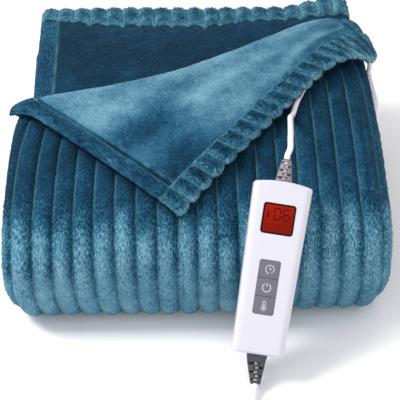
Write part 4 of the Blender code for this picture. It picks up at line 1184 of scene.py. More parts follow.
def corner_marks(columns, reach):
    """Painted light and shade on the corner's smooth face: lighter near the fold, darker towards its far end, right
    side and hollow.
    """
    side = columns * RIB_PITCH
    right = (RIBS - columns) * RIB_PITCH
    cloud = waves(62, columns * 0.9, reach * 9.0) + 0.6 * waves(63, columns * 2.1, reach * 19.0)
    nap = 0.61 - 0.27 * ease(0.30, 0.66, reach) * ease(6.8, 3.2, columns) + 0.11 * cloud
    nap = nap - 0.16 * ease(0.70, 1.0, reach) - 0.10 * hump(0.58, 0.10, reach) * hump(3.5, 2.0, columns)
    nap = nap + 0.05 * ease(0.3, 0.0, reach) - 0.12 * ease(14.0, 19.0, columns)
    in_hem = 1 - ease(*SIDE_HEM_END, np.minimum(side, right * 0.6))
    hem_nap = 0.30 + 0.16 * ease(15.0, 18.0, columns) + 0.06 * waves(64, columns * 6, reach * 12)
    hem_nap = hem_nap - 0.08 * hump(0.010, 0.006, side)
    nap = blend(nap, hem_nap, in_hem)
    # Painted shade along the hems' grooves
    nap = nap - 0.36 * (hump(*GROOVE_SHADE, side) + 0.5 * hump(*GROOVE_SHADE, right))
    ragged = 0.6 + 0.4 * waves(65, reach * 60)
    # Painted highlight lines along the seams
    crease = 0.85 * hump(SIDE_SEAM, 0.0011, side) + 0.8 * hump(0.0288, 0.0020, side) * ragged
    crease = crease * (0.8 + 0.2 * waves(66, reach * 45, columns * 3))
    return {"nap": nap, "crease": crease, "plush": 1 - 0.45 * in_hem, "pile": 0.45 + 1.3 * in_hem}


def corner_band(trough):
    """The turned-down corner up to its hem: straight lines from the fold to the hem, two roll radii over the top."""
    share = np.linspace(0.0, 1.0, 48)[1:, None]
    band = Band()
    for face, columns in (("ribbed", ribbed_columns(RIBS)), ("smooth", corner_columns())):
        fold, end, radius = corner(columns)
        span = end - fold
        length = np.linalg.norm(span, axis=1)
        hem = np.minimum(HEM_DEPTH / length, 0.8)
        reach = share * (1 - hem)
        place = fold[None] + span[None] * reach[..., None]
        edge = rounded_edge(from_sides(columns), EDGE_ROLL)
        soft = troughs(columns[None], share) * ease(0.0, 0.25, share) * (1 - ease(0.88, 1.0, share))
        left, right = columns * RIB_PITCH, (RIBS - columns) * RIB_PITCH
        soft = soft * ease(*SOFT_FROM_SIDE, left) * ease(*SOFT_FROM_SIDE, right)
        lower = np.minimum(trough * soft, 0.0014)
        point, up = outer_point(place[..., 0], place[..., 1], 2 * radius - lower)
        if face == "ribbed":
            band.face(face, columns, point, -up, valley_rise(edge) + PRESSED * RIB_HEIGHT * lobe(columns), nap=0.14)
            continue
        rise = -back_rise(edge) - (side_hem(left, 0.0016, 0.0022) + side_hem(right, 0.001, 0.001)) * edge
        band.face(face, columns, point, -up, rise, **corner_marks(columns[None], share))
    return band


def corner_hem_band(rib_height):
    """The corner's scalloped hem: 25 mm of puffed ribs that end in lobes, closed by a quarter round at their tips."""
    columns = ribbed_columns(RIBS)
    inwards = np.array(CORNER_HEM_ROWS)[:, None]
    fold, end, radius = corner(columns)
    span = end - fold
    length = np.linalg.norm(span, axis=1)
    hem = np.minimum(HEM_DEPTH, 0.8 * length)
    bump = lobe(columns)
    full = hem + SCALLOP * bump + CORNER_DROOP * ease(12.6, 15.2, columns)
    into = 1 - inwards / CORNER_HEM_ROWS[0]
    reach = (length - hem + full * np.clip(into, 0, 1)) / length
    place = fold[None] + span[None] * reach[..., None]
    lift = 0.0015 * waves(71, columns * 0.9)[None] * into
    point, up = outer_point(place[..., 0], place[..., 1], 2 * radius + lift)
    from_tip = full * (1 - np.clip(into, 0, 1))
    tip = rounded_edge(from_tip, CORNER_TIP_ROUND)
    edge = rounded_edge(from_sides(columns), EDGE_ROLL)
    ragged = 0.0010 * waves(72, columns * 4.5) + 0.0007 * waves(73, columns * 10.0)
    begins = ease(0.0, 0.0022, full - from_tip + ragged - 0.0015)
    puff = HEM_PUFF * (0.35 + 0.65 * bump) * begins * (1 + 0.12 * waves(74, columns * 2.0, from_tip * 250))
    ribbed = (valley_rise(edge) + PRESSED * rib_height * bump) * tip
    smooth = (back_rise(edge) + puff * edge) * tip + 0.0001
    seam = hump(0.0008, 0.0010, full - from_tip + ragged) * 0.8
    lines = valley(columns[None], 0.05) * begins
    # Tone of the hem with painted light and shade: highlights at the lobes' tips and left sides, shade in their
    # middles, lighter towards the right end
    nap = 0.36 + 0.38 * ease(0.0065, 0.0, from_tip) + 0.09 * waves(75, columns * 2.3, from_tip * 220)
    nap = nap - 0.16 * hump(0.62, 0.24, np.mod(columns, 1.0)) * ease(0.002, 0.008, from_tip)
    nap = nap + 0.14 * hump(0.20, 0.12, np.mod(columns, 1.0)) + 0.16 * ease(13.0, 16.5, columns)
    nap = blend(0.30, nap, begins)
    band = Band()
    # The ribbed underside gets painted light towards the tip
    band.face("ribbed", columns, point, -up, ribbed, nap=0.26 + 0.18 * (1 - tip), pile=1 - tip)
    band.face("smooth", columns, point, -up, -smooth, nap=nap, crease=np.maximum(seam, lines), plush=1 - begins,
              pile=0.4 + 2.6 * begins)
    return band


# ---- materials
class Maker:
    """Short ways to add and join a material's nodes."""

    def __init__(self, name, **inputs):
        self.material = bpy.data.materials.new(name)
        self.material.use_nodes = True
        self.tree = self.material.node_tree
        self.shader = self.tree.nodes["Principled BSDF"]
        self.fill(self.shader, inputs)

    def fill(self, node, inputs):
        """Give a node's sockets, by number or name, a value or a link."""
        for key, value in inputs.items():
            socket = node.inputs[key.replace("_", " ") if isinstance(key, str) else key]
            if isinstance(value, bpy.types.NodeSocket):
                self.tree.links.new(value, socket)
            else:
                socket.default_value = value
        return node

    def node(self, kind, options=None, **inputs):
        made = self.tree.nodes.new("ShaderNode" + kind)
        for key, value in (options or {}).items():
            setattr(made, key, value)
        return self.fill(made, inputs)

    def math(self, operation, *values):
        return self.fill(self.node("Math", {"operation": operation}), dict(enumerate(values))).outputs[0]

    def attribute(self, name):
        return self.node("Attribute", {"attribute_name": name}).outputs["Fac"]

    def coordinates(self, kind="Object", scale=(1.0, 1.0, 1.0), turned=0.0):
        """Object or UV coordinates, scaled and turned in their plane."""
        place = self.node("TexCoord").outputs[kind]
        return self.node("Mapping", Vector=place, Rotation=(0.0, 0.0, turned), Scale=scale).outputs["Vector"]

    def noise(self, vector, scale, detail=2.0, roughness=0.5):
        made = self.node("TexNoise", Vector=vector, Scale=scale, Detail=detail, Roughness=roughness)
        return made.outputs["Fac"]

    def sum(self, *terms):
        """Sum of sockets, each given alone or with a factor and an offset: socket * factor + offset."""
        total = None
        for term in terms:
            scaled = self.math("MULTIPLY_ADD", *((*term, 0.0)[:3] if isinstance(term, tuple) else (term, 1.0, 0.0)))
            total = scaled if total is None else self.math("ADD", total, scaled)
        return total

    def clamp(self, value):
        return self.node("Clamp", Value=value).outputs["Result"]

    def ramp(self, value, stops):
        made = self.node("ValToRGB", Fac=value)
        stops = list(stops)
        elements = made.color_ramp.elements
        while len(elements) < len(stops):
            elements.new(0.5)
        for element, (place, colour) in zip(elements, stops):
            element.position = place
            element.color = (*colour, 1.0)
        return made.outputs["Color"]

    def mix(self, factor, first, second):
        made = self.node("Mix", {"data_type": "RGBA"})
        ends = [v if isinstance(v, bpy.types.NodeSocket) else (*v, 1.0) for v in (first, second)]
        return self.fill(made, dict(zip(("Factor", "A", "B"), (factor, *ends)))).outputs["Result"]

    def finish(self, colour, roughness, height, distance, strength):
        """Join colour, roughness and a bump of this height to the shader, and give the material."""
        bump = self.node("Bump", Height=height, Distance=distance, Strength=strength).outputs["Normal"]
        self.fill(self.shader, {"Base Color": colour, "Roughness": roughness, "Normal": bump})
        return self.material


def flannel(own):
    """Plush pile: tone with painted light and shade from dark to bright, broken by strands, with painted sheen and
    painted highlight lines in seams and valleys.
    """
    make = Maker(
        "ribbed_flannel", Roughness=0.9, Sheen_Weight=0.06, Sheen_Roughness=0.4,
        Sheen_Tint=(0.42, 0.72, 0.82, 1.0), Specular_IOR_Level=0.08,
    )
    place = make.coordinates()
    strands = make.noise(make.coordinates("UV", (620.0, 240.0, 1.0)), 1.0, 4.0, 0.75)
    whiskers = make.noise(make.coordinates("UV", (700.0, 250.0, 1.0), radians(32.0)), 1.0, 3.0, 0.65)
    fluff = make.noise(place, 700.0, 4.0, 0.8)
    cloud = make.noise(place, 30.0, 4.0, 0.6)
    patch = make.noise(place, 80.0, 4.0, 0.65)
    rough = make.sum((make.attribute("plush"), -0.62, 1.0))
    fine = make.sum((strands, 1.5, -0.75), (whiskers, 1.3, -0.65), (fluff, 1.3, -0.65))
    tone = make.sum(make.attribute("nap"), (cloud, 0.34, -0.17), (patch, 0.40, -0.20), (fine, rough))
    # Lit and shaded copies of the one teal pile, picked by the painted light and shade
    naps = (own.nap_shadow, own.nap_dark, own.nap_middle, own.nap_light, own.nap_bright)
    pile = make.ramp(tone, zip((0.0, 0.2, 0.5, 0.75, 1.0), naps))
    # Painted sheen: greyer where the pile is lighter and smoother
    painted_sheen = make.sum((make.sum((tone, 1.4, -0.45)), make.sum((make.attribute("plush"), 0.24))))
    pile = make.mix(make.clamp(painted_sheen), pile, own.painted_sheen)
    # Painted highlight lines in seams and valleys
    line = make.sum(make.attribute("crease"), (fluff, 1.2, -0.62))
    colour = make.mix(make.clamp(line), pile, own.crease)
    return make.finish(colour, make.sum((fluff, 0.2, 0.78)), make.sum((fine, rough), (patch, 0.8)),
                       own.pile_depth, 0.6)


def darker(colour, share):
    """The colour times a share of its light."""
    return tuple(c * share for c in colour)


def moulded(name, colour, roughness, grain, depth, mottle, **inputs):
    """Moulded plastic or rubber: fine grain in the bump, and a little cloud in colour and gloss."""
    make = Maker(name, **inputs)
    place = make.coordinates()
    cloud = make.noise(place, 40.0, 3.0)
    fine = make.noise(place, grain, 2.0)
    return make.finish(make.mix(cloud, darker(colour, 1 - 2 * mottle), colour),
                       make.sum((cloud, 0.10, roughness - 0.05), (fine, 0.06, -0.03)), fine, depth, 0.6)


def paint(piece, material):
    """Give the piece one material."""
    piece.data.materials.clear()
    piece.data.materials.append(material)
    return piece


def dress(piece, material, slot, *replaced, body="blanket"):
    """Paint the piece, let it ride on a body, and hide the frame's nodes that it stands for."""
    paint(piece, material)
    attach(piece, body)
    if replaced:
        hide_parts(*replaced)
    return piece


def settings():
    return bpy.context.scene.heated_blanket


# ---- hand controller shapes
def controller_place():
    """Axes and origin of the controller, from its slope and lean and from where its shell stands in the frame.

    The rows of the axes are across, ahead and out of its face. The origin is the middle of its face."""
    out = np.array((0.0, -sin(SLOPE), cos(SLOPE)))
    ahead = np.array((sin(LEAN), cos(SLOPE) * cos(LEAN), sin(SLOPE) * cos(LEAN)))
    axes = np.stack([np.cross(ahead, out), ahead, out])
    local = read_floats(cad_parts["controller_shell"].data.vertices, "co", 3) @ axes.T
    low, high = local.min(0), local.max(0)
    return axes, np.array((0.5 * (low[0] + high[0]), 0.5 * (low[1] + high[1]), high[2])) @ axes


def shell_outline(inset):
    """The tapered outline at an inset: straight sides, a straight foot and a top edge arched by 1 - (x / half)^2."""
    top = 0.5 * SHELL_TOP_WIDTH - inset
    foot = 0.5 * SHELL_FOOT_WIDTH - inset
    end = 0.5 * SHELL_LENGTH - inset * SHELL_END_INSET
    corners = [(-foot, -end), (foot, -end), (top, end - SHELL_ARCH), (-top, end - SHELL_ARCH)]
    radius = max(SHELL_CORNER - 0.15 * inset, SHELL_CORNER_LEAST)
    outline = rounded_outline(corners, radius, SHELL_CORNER_STEPS)
    edge = np.column_stack([top * np.linspace(0.84, -0.84, 21), np.full(21, end - SHELL_ARCH)])
    top_starts = 3 * (SHELL_CORNER_STEPS + 1)
    outline = np.concatenate([outline[:top_starts], edge, outline[top_starts:]])
    arch = SHELL_ARCH * (1 - (outline[:, 0] / top) ** 2) * (outline[:, 1] > 0)
    return outline + np.column_stack([0 * arch, arch])


def body_levels(end, steps, first, last, groove, groove_depth):
    """Levels and insets of a body's outline: a quarter round, a fine groove, and a quarter round at the end.

    The first round is deep (1 - cos t), wide (1 - sin t), and the last one runs the other way. The middle two of
    the groove's six levels are inset."""
    turn = np.linspace(0, 0.5 * pi, steps)
    rising, falling = 1 - np.cos(turn), 1 - np.sin(turn)
    return np.concatenate([
        np.column_stack([first[0] * rising, first[1] * falling]),
        np.column_stack([groove, np.array((0, 0, 1, 1, 0, 0)) * groove_depth]),
        np.column_stack([end - last[0] * falling, last[1] * rising]),
    ])


def cut(piece, outline, low, place):
    """Cut a pocket with this outline into the piece, from its face down to a depth, and apply the cut."""
    loops = [placed(at_height(outline, height), place) for height in (low, CUT_ABOVE)]
    cutter = loft(piece.name + "_cutter", loops)
    boolean = piece.modifiers.new("pocket", "BOOLEAN")
    boolean.operation = "DIFFERENCE"
    boolean.solver = "EXACT"
    boolean.object = cutter
    bake_modifiers(piece)
    bpy.data.objects.remove(cutter, do_unlink=True)


def bake_modifiers(piece):
    """Replace the piece's mesh by the one that its modifiers give."""
    graph = bpy.context.evaluated_depsgraph_get()
    mesh = bpy.data.meshes.new_from_object(piece.evaluated_get(graph))
    piece.modifiers.clear()
    piece.data = mesh


def stroke(path, width, span, closed=False):
    """Points and faces of a flat stroke: its path offset by half its width to both sides, at a span's two heights."""
    low, high = span
    path = np.asarray(path, float)
    if closed:
        ahead = np.roll(path, -1, axis=0) - np.roll(path, 1, axis=0)
    else:
        ahead = np.gradient(path, axis=0)
    ahead = unit(ahead)
    side = np.stack([-ahead[:, 1], ahead[:, 0]], -1) * 0.5 * width
    corners = [(path + side, low), (path - side, low), (path - side, high), (path + side, high)]
    grid = np.stack([at_height(line, height) for line, height in corners], 1)
    count = len(path)
    index = np.arange(count * 4).reshape(count, 4)
    if closed:
        index = np.concatenate([index, index[:1]])
        return grid.reshape(-1, 3), [grid_faces(index, closed=True)]
    return grid.reshape(-1, 3), [grid_faces(index, closed=True), index[:1, ::-1], index[-1:]]


def dot(centre, radius, span, sides=24):
    """A small round plate between a span's two heights."""
    turn = np.arange(sides) * 2 * pi / sides
    ring = np.column_stack([centre[0] + radius * np.cos(turn), centre[1] + radius * np.sin(turn)])
    grid = np.stack([at_height(ring, height) for height in span])
    index = np.arange(sides * 2).reshape(2, sides)
    return grid.reshape(-1, 3), [grid_faces(index, closed=True), index[:1, ::-1], index[1:]]


def arc(centre, radius, start, stop, count):
    """Points on a circle between two angles in degrees."""
    turn = np.radians(np.linspace(start, stop, count))
    return np.column_stack([centre[0] + radius * np.cos(turn), centre[1] + radius * np.sin(turn)])


def bar(start, stop, width, span):
    """A straight stroke between two points."""
    return stroke((start, stop), width, span)


def marks_piece(name, shapes, place):
    """One piece from several flat shapes, turned to face outwards."""
    points, faces = [], []
    count = 0
    for shape_points, shape_faces in shapes:
        faces.extend(f + count for f in shape_faces)
        points.append(shape_points)
        count += len(shape_points)
    points = placed(np.concatenate(points), place)
    piece = mesh_object(name, points, faces)
    outwards(piece)
    flat_shade(piece)
    return piece


def outwards(piece):
    """Turn the piece's closed shells to face outwards."""
    mesh = bmesh.new()
    mesh.from_mesh(piece.data)
    bmesh.ops.recalc_face_normals(mesh, faces=mesh.faces)
    mesh.to_mesh(piece.data)
    mesh.free()


def flat_shade(piece, angle=35.0):
    piece.data.shade_smooth()
    piece.data.set_sharp_from_angle(angle=radians(angle))


# Segments of a seven-segment digit, as starts and ends in its own width and height
SEGMENTS = {
    "top": ((0, 1), (1, 1)),
    "upper_left": ((0, 1), (0, 0.5)),
    "upper_right": ((1, 1), (1, 0.5)),
    "middle": ((0, 0.5), (1, 0.5)),
    "lower_left": ((0, 0.5), (0, 0)),
    "lower_right": ((1, 0.5), (1, 0)),
    "bottom": ((0, 0), (1, 0)),
}
DIGITS = {
    "0": ("top", "upper_left", "upper_right", "lower_left", "lower_right", "bottom"),
    "1": ("upper_right", "lower_right"),
    "6": ("top", "upper_left", "middle", "lower_left", "lower_right", "bottom"),
}


# The display's rows, from its middle. columns: text, lower left corner, a digit's size, step and stroke width
LARGE_DIGITS = ("06", (-0.0046, -0.0005), (0.0060, 0.0105), 0.0089, 0.0011)
SMALL_DIGITS = ("1000", (-0.0046, -0.0098), (0.0024, 0.0048), 0.0042, 0.0006)
# Signs beside them. columns of dots: middle, radius; of bars: start, stop, width
LARGE_DOTS = (((-0.0103, 0.0018), 0.0013),)
LARGE_BARS = (
    ((-0.0103, 0.0024), (-0.0103, 0.0064), 0.0010),
    ((-0.0090, 0.0060), (-0.0078, 0.0060), 0.0005),
    ((-0.0090, 0.0043), (-0.0078, 0.0043), 0.0005),
)
SMALL_BARS = (((-0.0120, -0.0090), (-0.0072, -0.0090), 0.0006),)


def digit_shapes(text, at, size, step, width, span):
    """Strokes of a row of seven-segment digits, each segment cut short by 0.62 of its width at both ends."""
    shapes = []
    for i, letter in enumerate(text):
        origin = np.add(DISPLAY_AT, at) + np.array((i * step, 0.0))
        for name in DIGITS[letter]:
            start, stop = (origin + np.array(p) * np.array(size) for p in SEGMENTS[name])
            trim = unit(stop - start) * width * 0.62
            shapes.append(bar(start + trim, stop - trim, width, span))
    return shapes


def key_shapes(key, span):
    """Strokes of a key's mark: a clock, a power sign or a thermometer, round the key's middle."""
    if key == "key_timer":
        return [
            stroke(arc((0.0005, 0.0), 0.0040, -35, 265, 48), 0.0007, span),
            bar((0.0005, 0.0), (0.0005, 0.0021), 0.0007, span),
            bar((0.0003, -0.0002), (0.0021, -0.0002), 0.0007, span),
            dot((0.0028, -0.0031), 0.0005, span),
        ]
    if key == "key_power":
        return [
            stroke(arc((0.0, -0.0003), 0.0040, 120, 420, 48), 0.0008, span),
            bar((0.0, 0.0044), (0.0, 0.0006), 0.0008, span),
        ]
    bulb = arc((0.0, -0.0026), 0.0022, 122, 418, 40)
    neck = arc((0.0, 0.0030), 0.00125, 0, 180, 16)
    outline = np.concatenate([bulb, [(0.00125, -0.0004)], neck, [(-0.00125, -0.0004)]])
    return [
        stroke(outline, 0.0006, span, closed=True),
        dot((0.0, -0.0026), 0.0010, span),
        bar((0.0, -0.0020), (0.0, 0.0014), 0.0006, span),
    ]


def key_outline(index, inset):
    """Outline of a key: only the pad's own four corners are rounded."""
    corners = box_corners(KEY_SIZE[0] - 2 * inset, KEY_SIZE[1] - 2 * inset)
    soft, tight = (rounded_outline(corners, radius, 8) for radius in (KEY_CORNER, KEY_EDGE))
    upper = soft[:, 1:] > 0
    is_soft = (upper & (index == 0)) | (~upper & (index == len(KEYS) - 1))
    return np.where(is_soft, soft, tight)


def key_cap(name, index, place):
    """A key whose upper edge is rounded: quarter-circle insets of its outline."""
    loops = [placed(at_height(key_outline(index, 0.0), KEY_LOW), place)]
    for turn in np.linspace(0, 0.5 * pi, 6):
        height = KEY_PROUD - KEY_ROUND + KEY_ROUND * sin(turn)
        loops.append(placed(at_height(key_outline(index, KEY_ROUND * (1 - cos(turn))), height), place))
    return loft(name, loops)


# ---- strain reliefs and plug shapes
def route_axes(route, side):
    """Directions across and up at each point of a route: the side made square to the way ahead."""
    ahead = unit(np.gradient(route, axis=0))
    across = unit(side - ahead * (ahead @ side)[:, None])
    return across, np.cross(across, ahead)


def slotted_relief(name, route, side, wide, narrow, deep, thin, slots, span):
    """A tapered sleeve cut by staggered slots: radius = taper * oval, less a bell-edged slot down to the cord.

    Each slot runs from past the middle to one side, left and right by turns, and the cord shows in it."""
    across, up = route_axes(route, side)
    share = np.linspace(0, 1, len(route))[:, None]
    turn = (np.arange(RELIEF_SIDES) * 2 * pi / RELIEF_SIDES)[None]
    half_width = 0.5 * (wide + (narrow - wide) * share)
    half_depth = 0.5 * (deep + (thin - deep) * share)
    low, high = span
    cut_share = np.zeros(np.broadcast(share, turn).shape)
    glint = np.zeros_like(cut_share)
    for i in range(slots):
        middle = low + (high - low) * i / (slots - 1)
        half = SLOT_HALF * (high - low) / (slots - 1)
        along = ease(half * 1.25, half * 0.75, np.abs(share - middle))
        for front in (0.5 * pi, 1.5 * pi):
            facing = front + (SLOT_TURNED if (i % 2 == 0) == (front < pi) else -SLOT_TURNED)
            around = np.abs(np.mod(turn - facing + pi, 2 * pi) - pi)
            cut_share = np.maximum(cut_share, along * ease(*SLOT_EDGE, around))
            beside = np.abs(np.mod(turn - front - 0.4 * (facing - front) + pi, 2 * pi) - pi)
            glint = np.maximum(glint, along * ease(*CORD_SHOWS, beside))
    end = np.sqrt(np.clip(1 - np.clip((share - TIP_FROM) / (1 - TIP_FROM), 0, 1) ** 2 * 0.45, 0, 1))
    start = 1 - 0.06 * ease(0.02, 0.0, share)
    inner = 0.5 * CORD * 1.01
    x, y = (blend(half * end * start, inner, cut_share) for half in (half_width, half_depth))
    points = route[:, None] + across[:, None] * (x * np.cos(turn))[..., None]
    points = points + up[:, None] * (y * np.sin(turn))[..., None]
    shows = ease(0.72, 0.95, cut_share) * ease(0.5, 0.9, glint)
    # Painted shade on the slot walls and on the cord deep in the slots, where the cord's white doesn't face out
    dark = ease(0.15, 0.5, cut_share) * (1 - shows)
    return loft(name, points, {"cord": shows.ravel(), "dark": dark.ravel()})


def relief_material(name, rubber, sheath):
    """Matt rubber with the white cord at the bottom of its slots and painted shade on the slot walls, by the piece's
    attributes.
    """
    make = Maker(name, Specular_IOR_Level=0.35)
    place = make.coordinates()
    cloud = make.noise(place, 120.0, 3.0)
    fine = make.noise(place, 1500.0, 2.0)
    body = make.mix(cloud, darker(rubber, 0.82), rubber)
    # Painted shade in the slots
    body = make.mix(make.attribute("dark"), body, darker(rubber, 0.12))
    colour = make.mix(make.attribute("cord"), body, sheath)
    return make.finish(colour, make.sum((cloud, 0.16, 0.48)), fine, 0.00006, 0.7)


def bezier(start, first, second, end, count):
    """Points on a cubic curve: start u^3 + 3 first u^2 t + 3 second u t^2 + end t^3."""
    t = np.linspace(0, 1, count)[:, None]
    u = 1 - t
    return start * u**3 + first * 3 * u * u * t + second * 3 * u * t * t + end * t**3


def upper_relief_route(place):
    """Straight out of the shell's arched top."""
    start = placed((0.0, 0.5 * SHELL_LENGTH + GAP, -0.5 * SHELL_DEPTH), place)
    way = place[0][1]
    return start + way * np.linspace(0, UPPER_RELIEF_LENGTH, RELIEF_STEPS)[:, None], way


def lower_relief_route(place):
    """Out of the shell's foot, bending towards the floor, and the way that it ends."""
    start = placed((0.0, -0.5 * SHELL_LENGTH - GAP, -0.5 * SHELL_DEPTH), place)
    out = -place[0][1]
    reach = np.linalg.norm(LOWER_RELIEF_END - start)
    level = unit((LOWER_RELIEF_END - start) * (1, 1, 0))
    into = level * cos(LOWER_RELIEF_DIP) - np.array((0.0, 0.0, sin(LOWER_RELIEF_DIP)))
    return bezier(start, start + out * reach / 3, LOWER_RELIEF_END - into * reach / 3, LOWER_RELIEF_END,
                  RELIEF_STEPS), into


def plug_rings():
    """Rings of the plug: its table read by straight steps, as boxy ovals |x|^n + |y|^n = 1, with grip grooves."""
    along = np.concatenate([np.linspace(0, 0.0345, 120), 0.0345 + 0.0015 * np.sin(np.linspace(0.1, 0.5 * pi, 8))])
    width, height = (
        np.convolve(np.pad(np.interp(along, PLUG_RINGS[:, 0], size), 4, mode="edge"), np.ones(9) / 9, mode="valid")
        for size in PLUG_RINGS[:, 1:].T
    )
    ribs = np.clip(np.cos(2 * pi * (along - 0.0015) / PLUG_RIB_PITCH), 0, 1) * 0.0009
    ribs = ribs * (along < 0.0108) * (along > 0.0008)
    from_grip = np.mod(along - PLUG_FIRST_GRIP + 0.5 * PLUG_GRIP_PITCH, PLUG_GRIP_PITCH) - 0.5 * PLUG_GRIP_PITCH
    grips = hump(0.0, 0.0007, from_grip) * ease(0.018, 0.019, along)
    grips = grips * (1 - ease(0.0295, 0.0305, along)) * 0.0007
    turn = (np.arange(64) * 2 * pi / 64)[None]
    boxy = 2.0 + 2.2 * ease(0.010, 0.018, along)[:, None]
    reach = (np.abs(np.cos(turn)) ** boxy + np.abs(np.sin(turn)) ** boxy) ** (-1 / boxy)
    side_grip = grips[:, None] * ease(0.6, 0.9, np.abs(np.cos(turn)))
    x = (0.5 * width - ribs)[:, None] * reach * np.cos(turn) - side_grip * np.sign(np.cos(turn))
    y = (0.5 * height - ribs)[:, None] * reach * np.sin(turn)
    route = PLUG_AT + PLUG_AHEAD * along[:, None]
    across = np.array((-PLUG_AHEAD[1], PLUG_AHEAD[0], 0.0))
    up = np.array((0.0, 0.0, 1.0))
    return (route[:, None] + across * x[..., None] + up * y[..., None])[:, ::-1]


# ---- cords
def cord_curve(name, route, diameter):
    """A round cord on a poly curve through a route's points."""
    curve = bpy.data.curves.new(name, "CURVE")
    curve.dimensions = "3D"
    curve.bevel_depth = 0.5 * diameter
    curve.bevel_resolution = 5
    curve.use_fill_caps = True
    strand = curve.splines.new("POLY")
    strand.points.add(len(route) - 1)
    strand.points.foreach_set("co", np.column_stack([route, np.ones(len(route))]).ravel())
    strand.use_smooth = True
    piece = bpy.data.objects.new(name, curve)
    bpy.context.scene.collection.objects.link(piece)
    return piece


def coil_points():
    """The stored turns: radius and height eased between the winding's rows, one point each 10 degrees."""
    travel, radius, height = COIL_WINDING.T
    at = np.arange(0.0, travel[-1] + 1, 10.0)
    i = np.clip(np.searchsorted(travel, at, side="right") - 1, 0, len(travel) - 2)
    share = ease(0.0, 1.0, (at - travel[i]) / (travel[i + 1] - travel[i]))
    r = radius[i] + (radius[i + 1] - radius[i]) * share
    z = height[i] + (height[i + 1] - height[i]) * share
    turn = np.radians(COIL_STARTS_AT - at)
    return np.column_stack([COIL_CENTRE[0] + r * np.cos(turn), COIL_CENTRE[1] + r * np.sin(turn), z])


def lead_route(place):
    """From the upper relief over the top and under the corner, down the right side into the connector's neck."""
    route, way = upper_relief_route(place)
    exit_point = route[-1] + way * 3 * GAP
    laid, _ = outer_point(LEAD_LAID[:, 0], along_top(LEAD_LAID[:, 1]), LEAD_LAID[:, 2])
    entry = CONNECTOR_AT + np.array((*NECK_AT, 0.5 * CONNECTOR_SIZE[2] + GAP + NECK_SIZE[2] + 3 * GAP))
    points = [exit_point, exit_point + way * STRAIGHT_END, *LEAD_FREE, *settle(laid), *LEAD_DOWN, entry]
    return smooth_route(points, CORD_SPACING)


def mains_route(place):
    """From the lower relief along the floor, round the stored coil and on to the plug."""
    route, into = lower_relief_route(place)
    exit_point = route[-1] + into * 3 * GAP
    into_plug = [PLUG_AT - PLUG_AHEAD * away for away in (CORD, 2 * GAP)]
    points = [exit_point, exit_point + into * STRAIGHT_END, *MAINS_RUN, *coil_points(), *TAIL_RUN, *into_plug]
    return smooth_route(points, CORD_SPACING)


# ---- operators
class PlaceCamera(bpy.types.Operator):
    """Set the camera at the photograph's viewing angle"""

    bl_idname = "heated_blanket.place_camera"
    bl_label = "Place Camera"

    def execute(self, context):
        camera = bpy.data.objects.new("camera", bpy.data.cameras.new("camera"))
        camera.data.lens = CAMERA_LENS
        camera.data.sensor_width = 36.0
        camera.data.clip_start = 0.05
        camera.location = CAMERA_AT
        camera.rotation_euler = (0.5 * pi - CAMERA_DOWN, 0.0, CAMERA_TURN)
        context.scene.collection.objects.link(camera)
        context.scene.camera = camera
        return {"FINISHED"}


class RouteCords(bpy.types.Operator):
    """Lay the lead and the mains cord, and mould the plug"""

    bl_idname = "heated_blanket.route_cords"
    bl_label = "Route Cords"

    def execute(self, context):
        own = settings().cords
        place = controller_place()
        sheath = moulded("cord_sheath", own.sheath, 0.40, 1400.0, 0.00003, 0.02, Specular_IOR_Level=0.45)
        plug = dress(loft("plug_body", plug_rings()), sheath, "cord", "mains_plug")
        flat_shade(plug, 50.0)
        metal = Maker("plated_blades", Metallic=1.0, Roughness=0.25)
        scratches = metal.noise(metal.coordinates("Object", (1.0, 1.0, 8.0)), 900.0, 3.0)
        metal.fill(metal.shader, {"Base Color": metal.mix(scratches, darker(own.blades, 0.85), own.blades),
                                 "Roughness": metal.sum((scratches, 0.25, 0.15))})
        blades = [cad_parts[name] for name in ("plug_blade_left", "plug_blade_right")]
        for blade in blades:
            soften(paint(blade, metal.material), 0.0002)
        lead = lead_route(place)
        piece = dress(cord_curve("lead_cord", lead, own.diameter), sheath, "cord", "controller_lead")
        mains = mains_route(place)
        piece = dress(cord_curve("mains_lead", mains, own.diameter), sheath, "cord", "mains_cord", "mains_coil",
                      "mains_tail")
        return {"FINISHED"}


def soften(piece, width):
    """Weld a carried-over solid's loose triangles and round its sharp edges."""
    weld = piece.modifiers.new("weld", "WELD")
    weld.merge_threshold = WELD_WITHIN
    bevel = piece.modifiers.new("bevel", "BEVEL")
    bevel.width = width
    bevel.segments = 3
    bevel.limit_method = "ANGLE"
    bevel.angle_limit = SHARP_EDGE


class FoldCloth(bpy.types.Operator):
    """Fold the ribbed throw with its corner turned down"""

    bl_idname = "heated_blanket.fold_cloth"
    bl_label = "Fold Cloth"

    def execute(self, context):
        own = settings().cloth
        rib = own.rib_height
        few = plain_columns(RIBS, 3.2)
        many = ribbed_columns(RIBS)
        bands = [back_hem_band(rib), shown_panel_band(), *inner_bands(rib)]
        bands.append(outer_band(0.0, PLAIN_END, 16, few, few, rib))
        bands.append(outer_band(RIB_FADE[0], SHOULDER_END, 62, many, few, rib))
        bands += [top_band(rib), fold_band(rib), corner_band(own.trough), corner_hem_band(rib)]
        pile = flannel(own)
        cloth = dress(join_bands("folded_throw", bands, own.unevenness), pile, "cloth", "blanket_cloth")
        tufts = dress(pile_fibres(cloth, own.tufts, own.tuft_length), pile, "cloth")
        return {"FINISHED"}


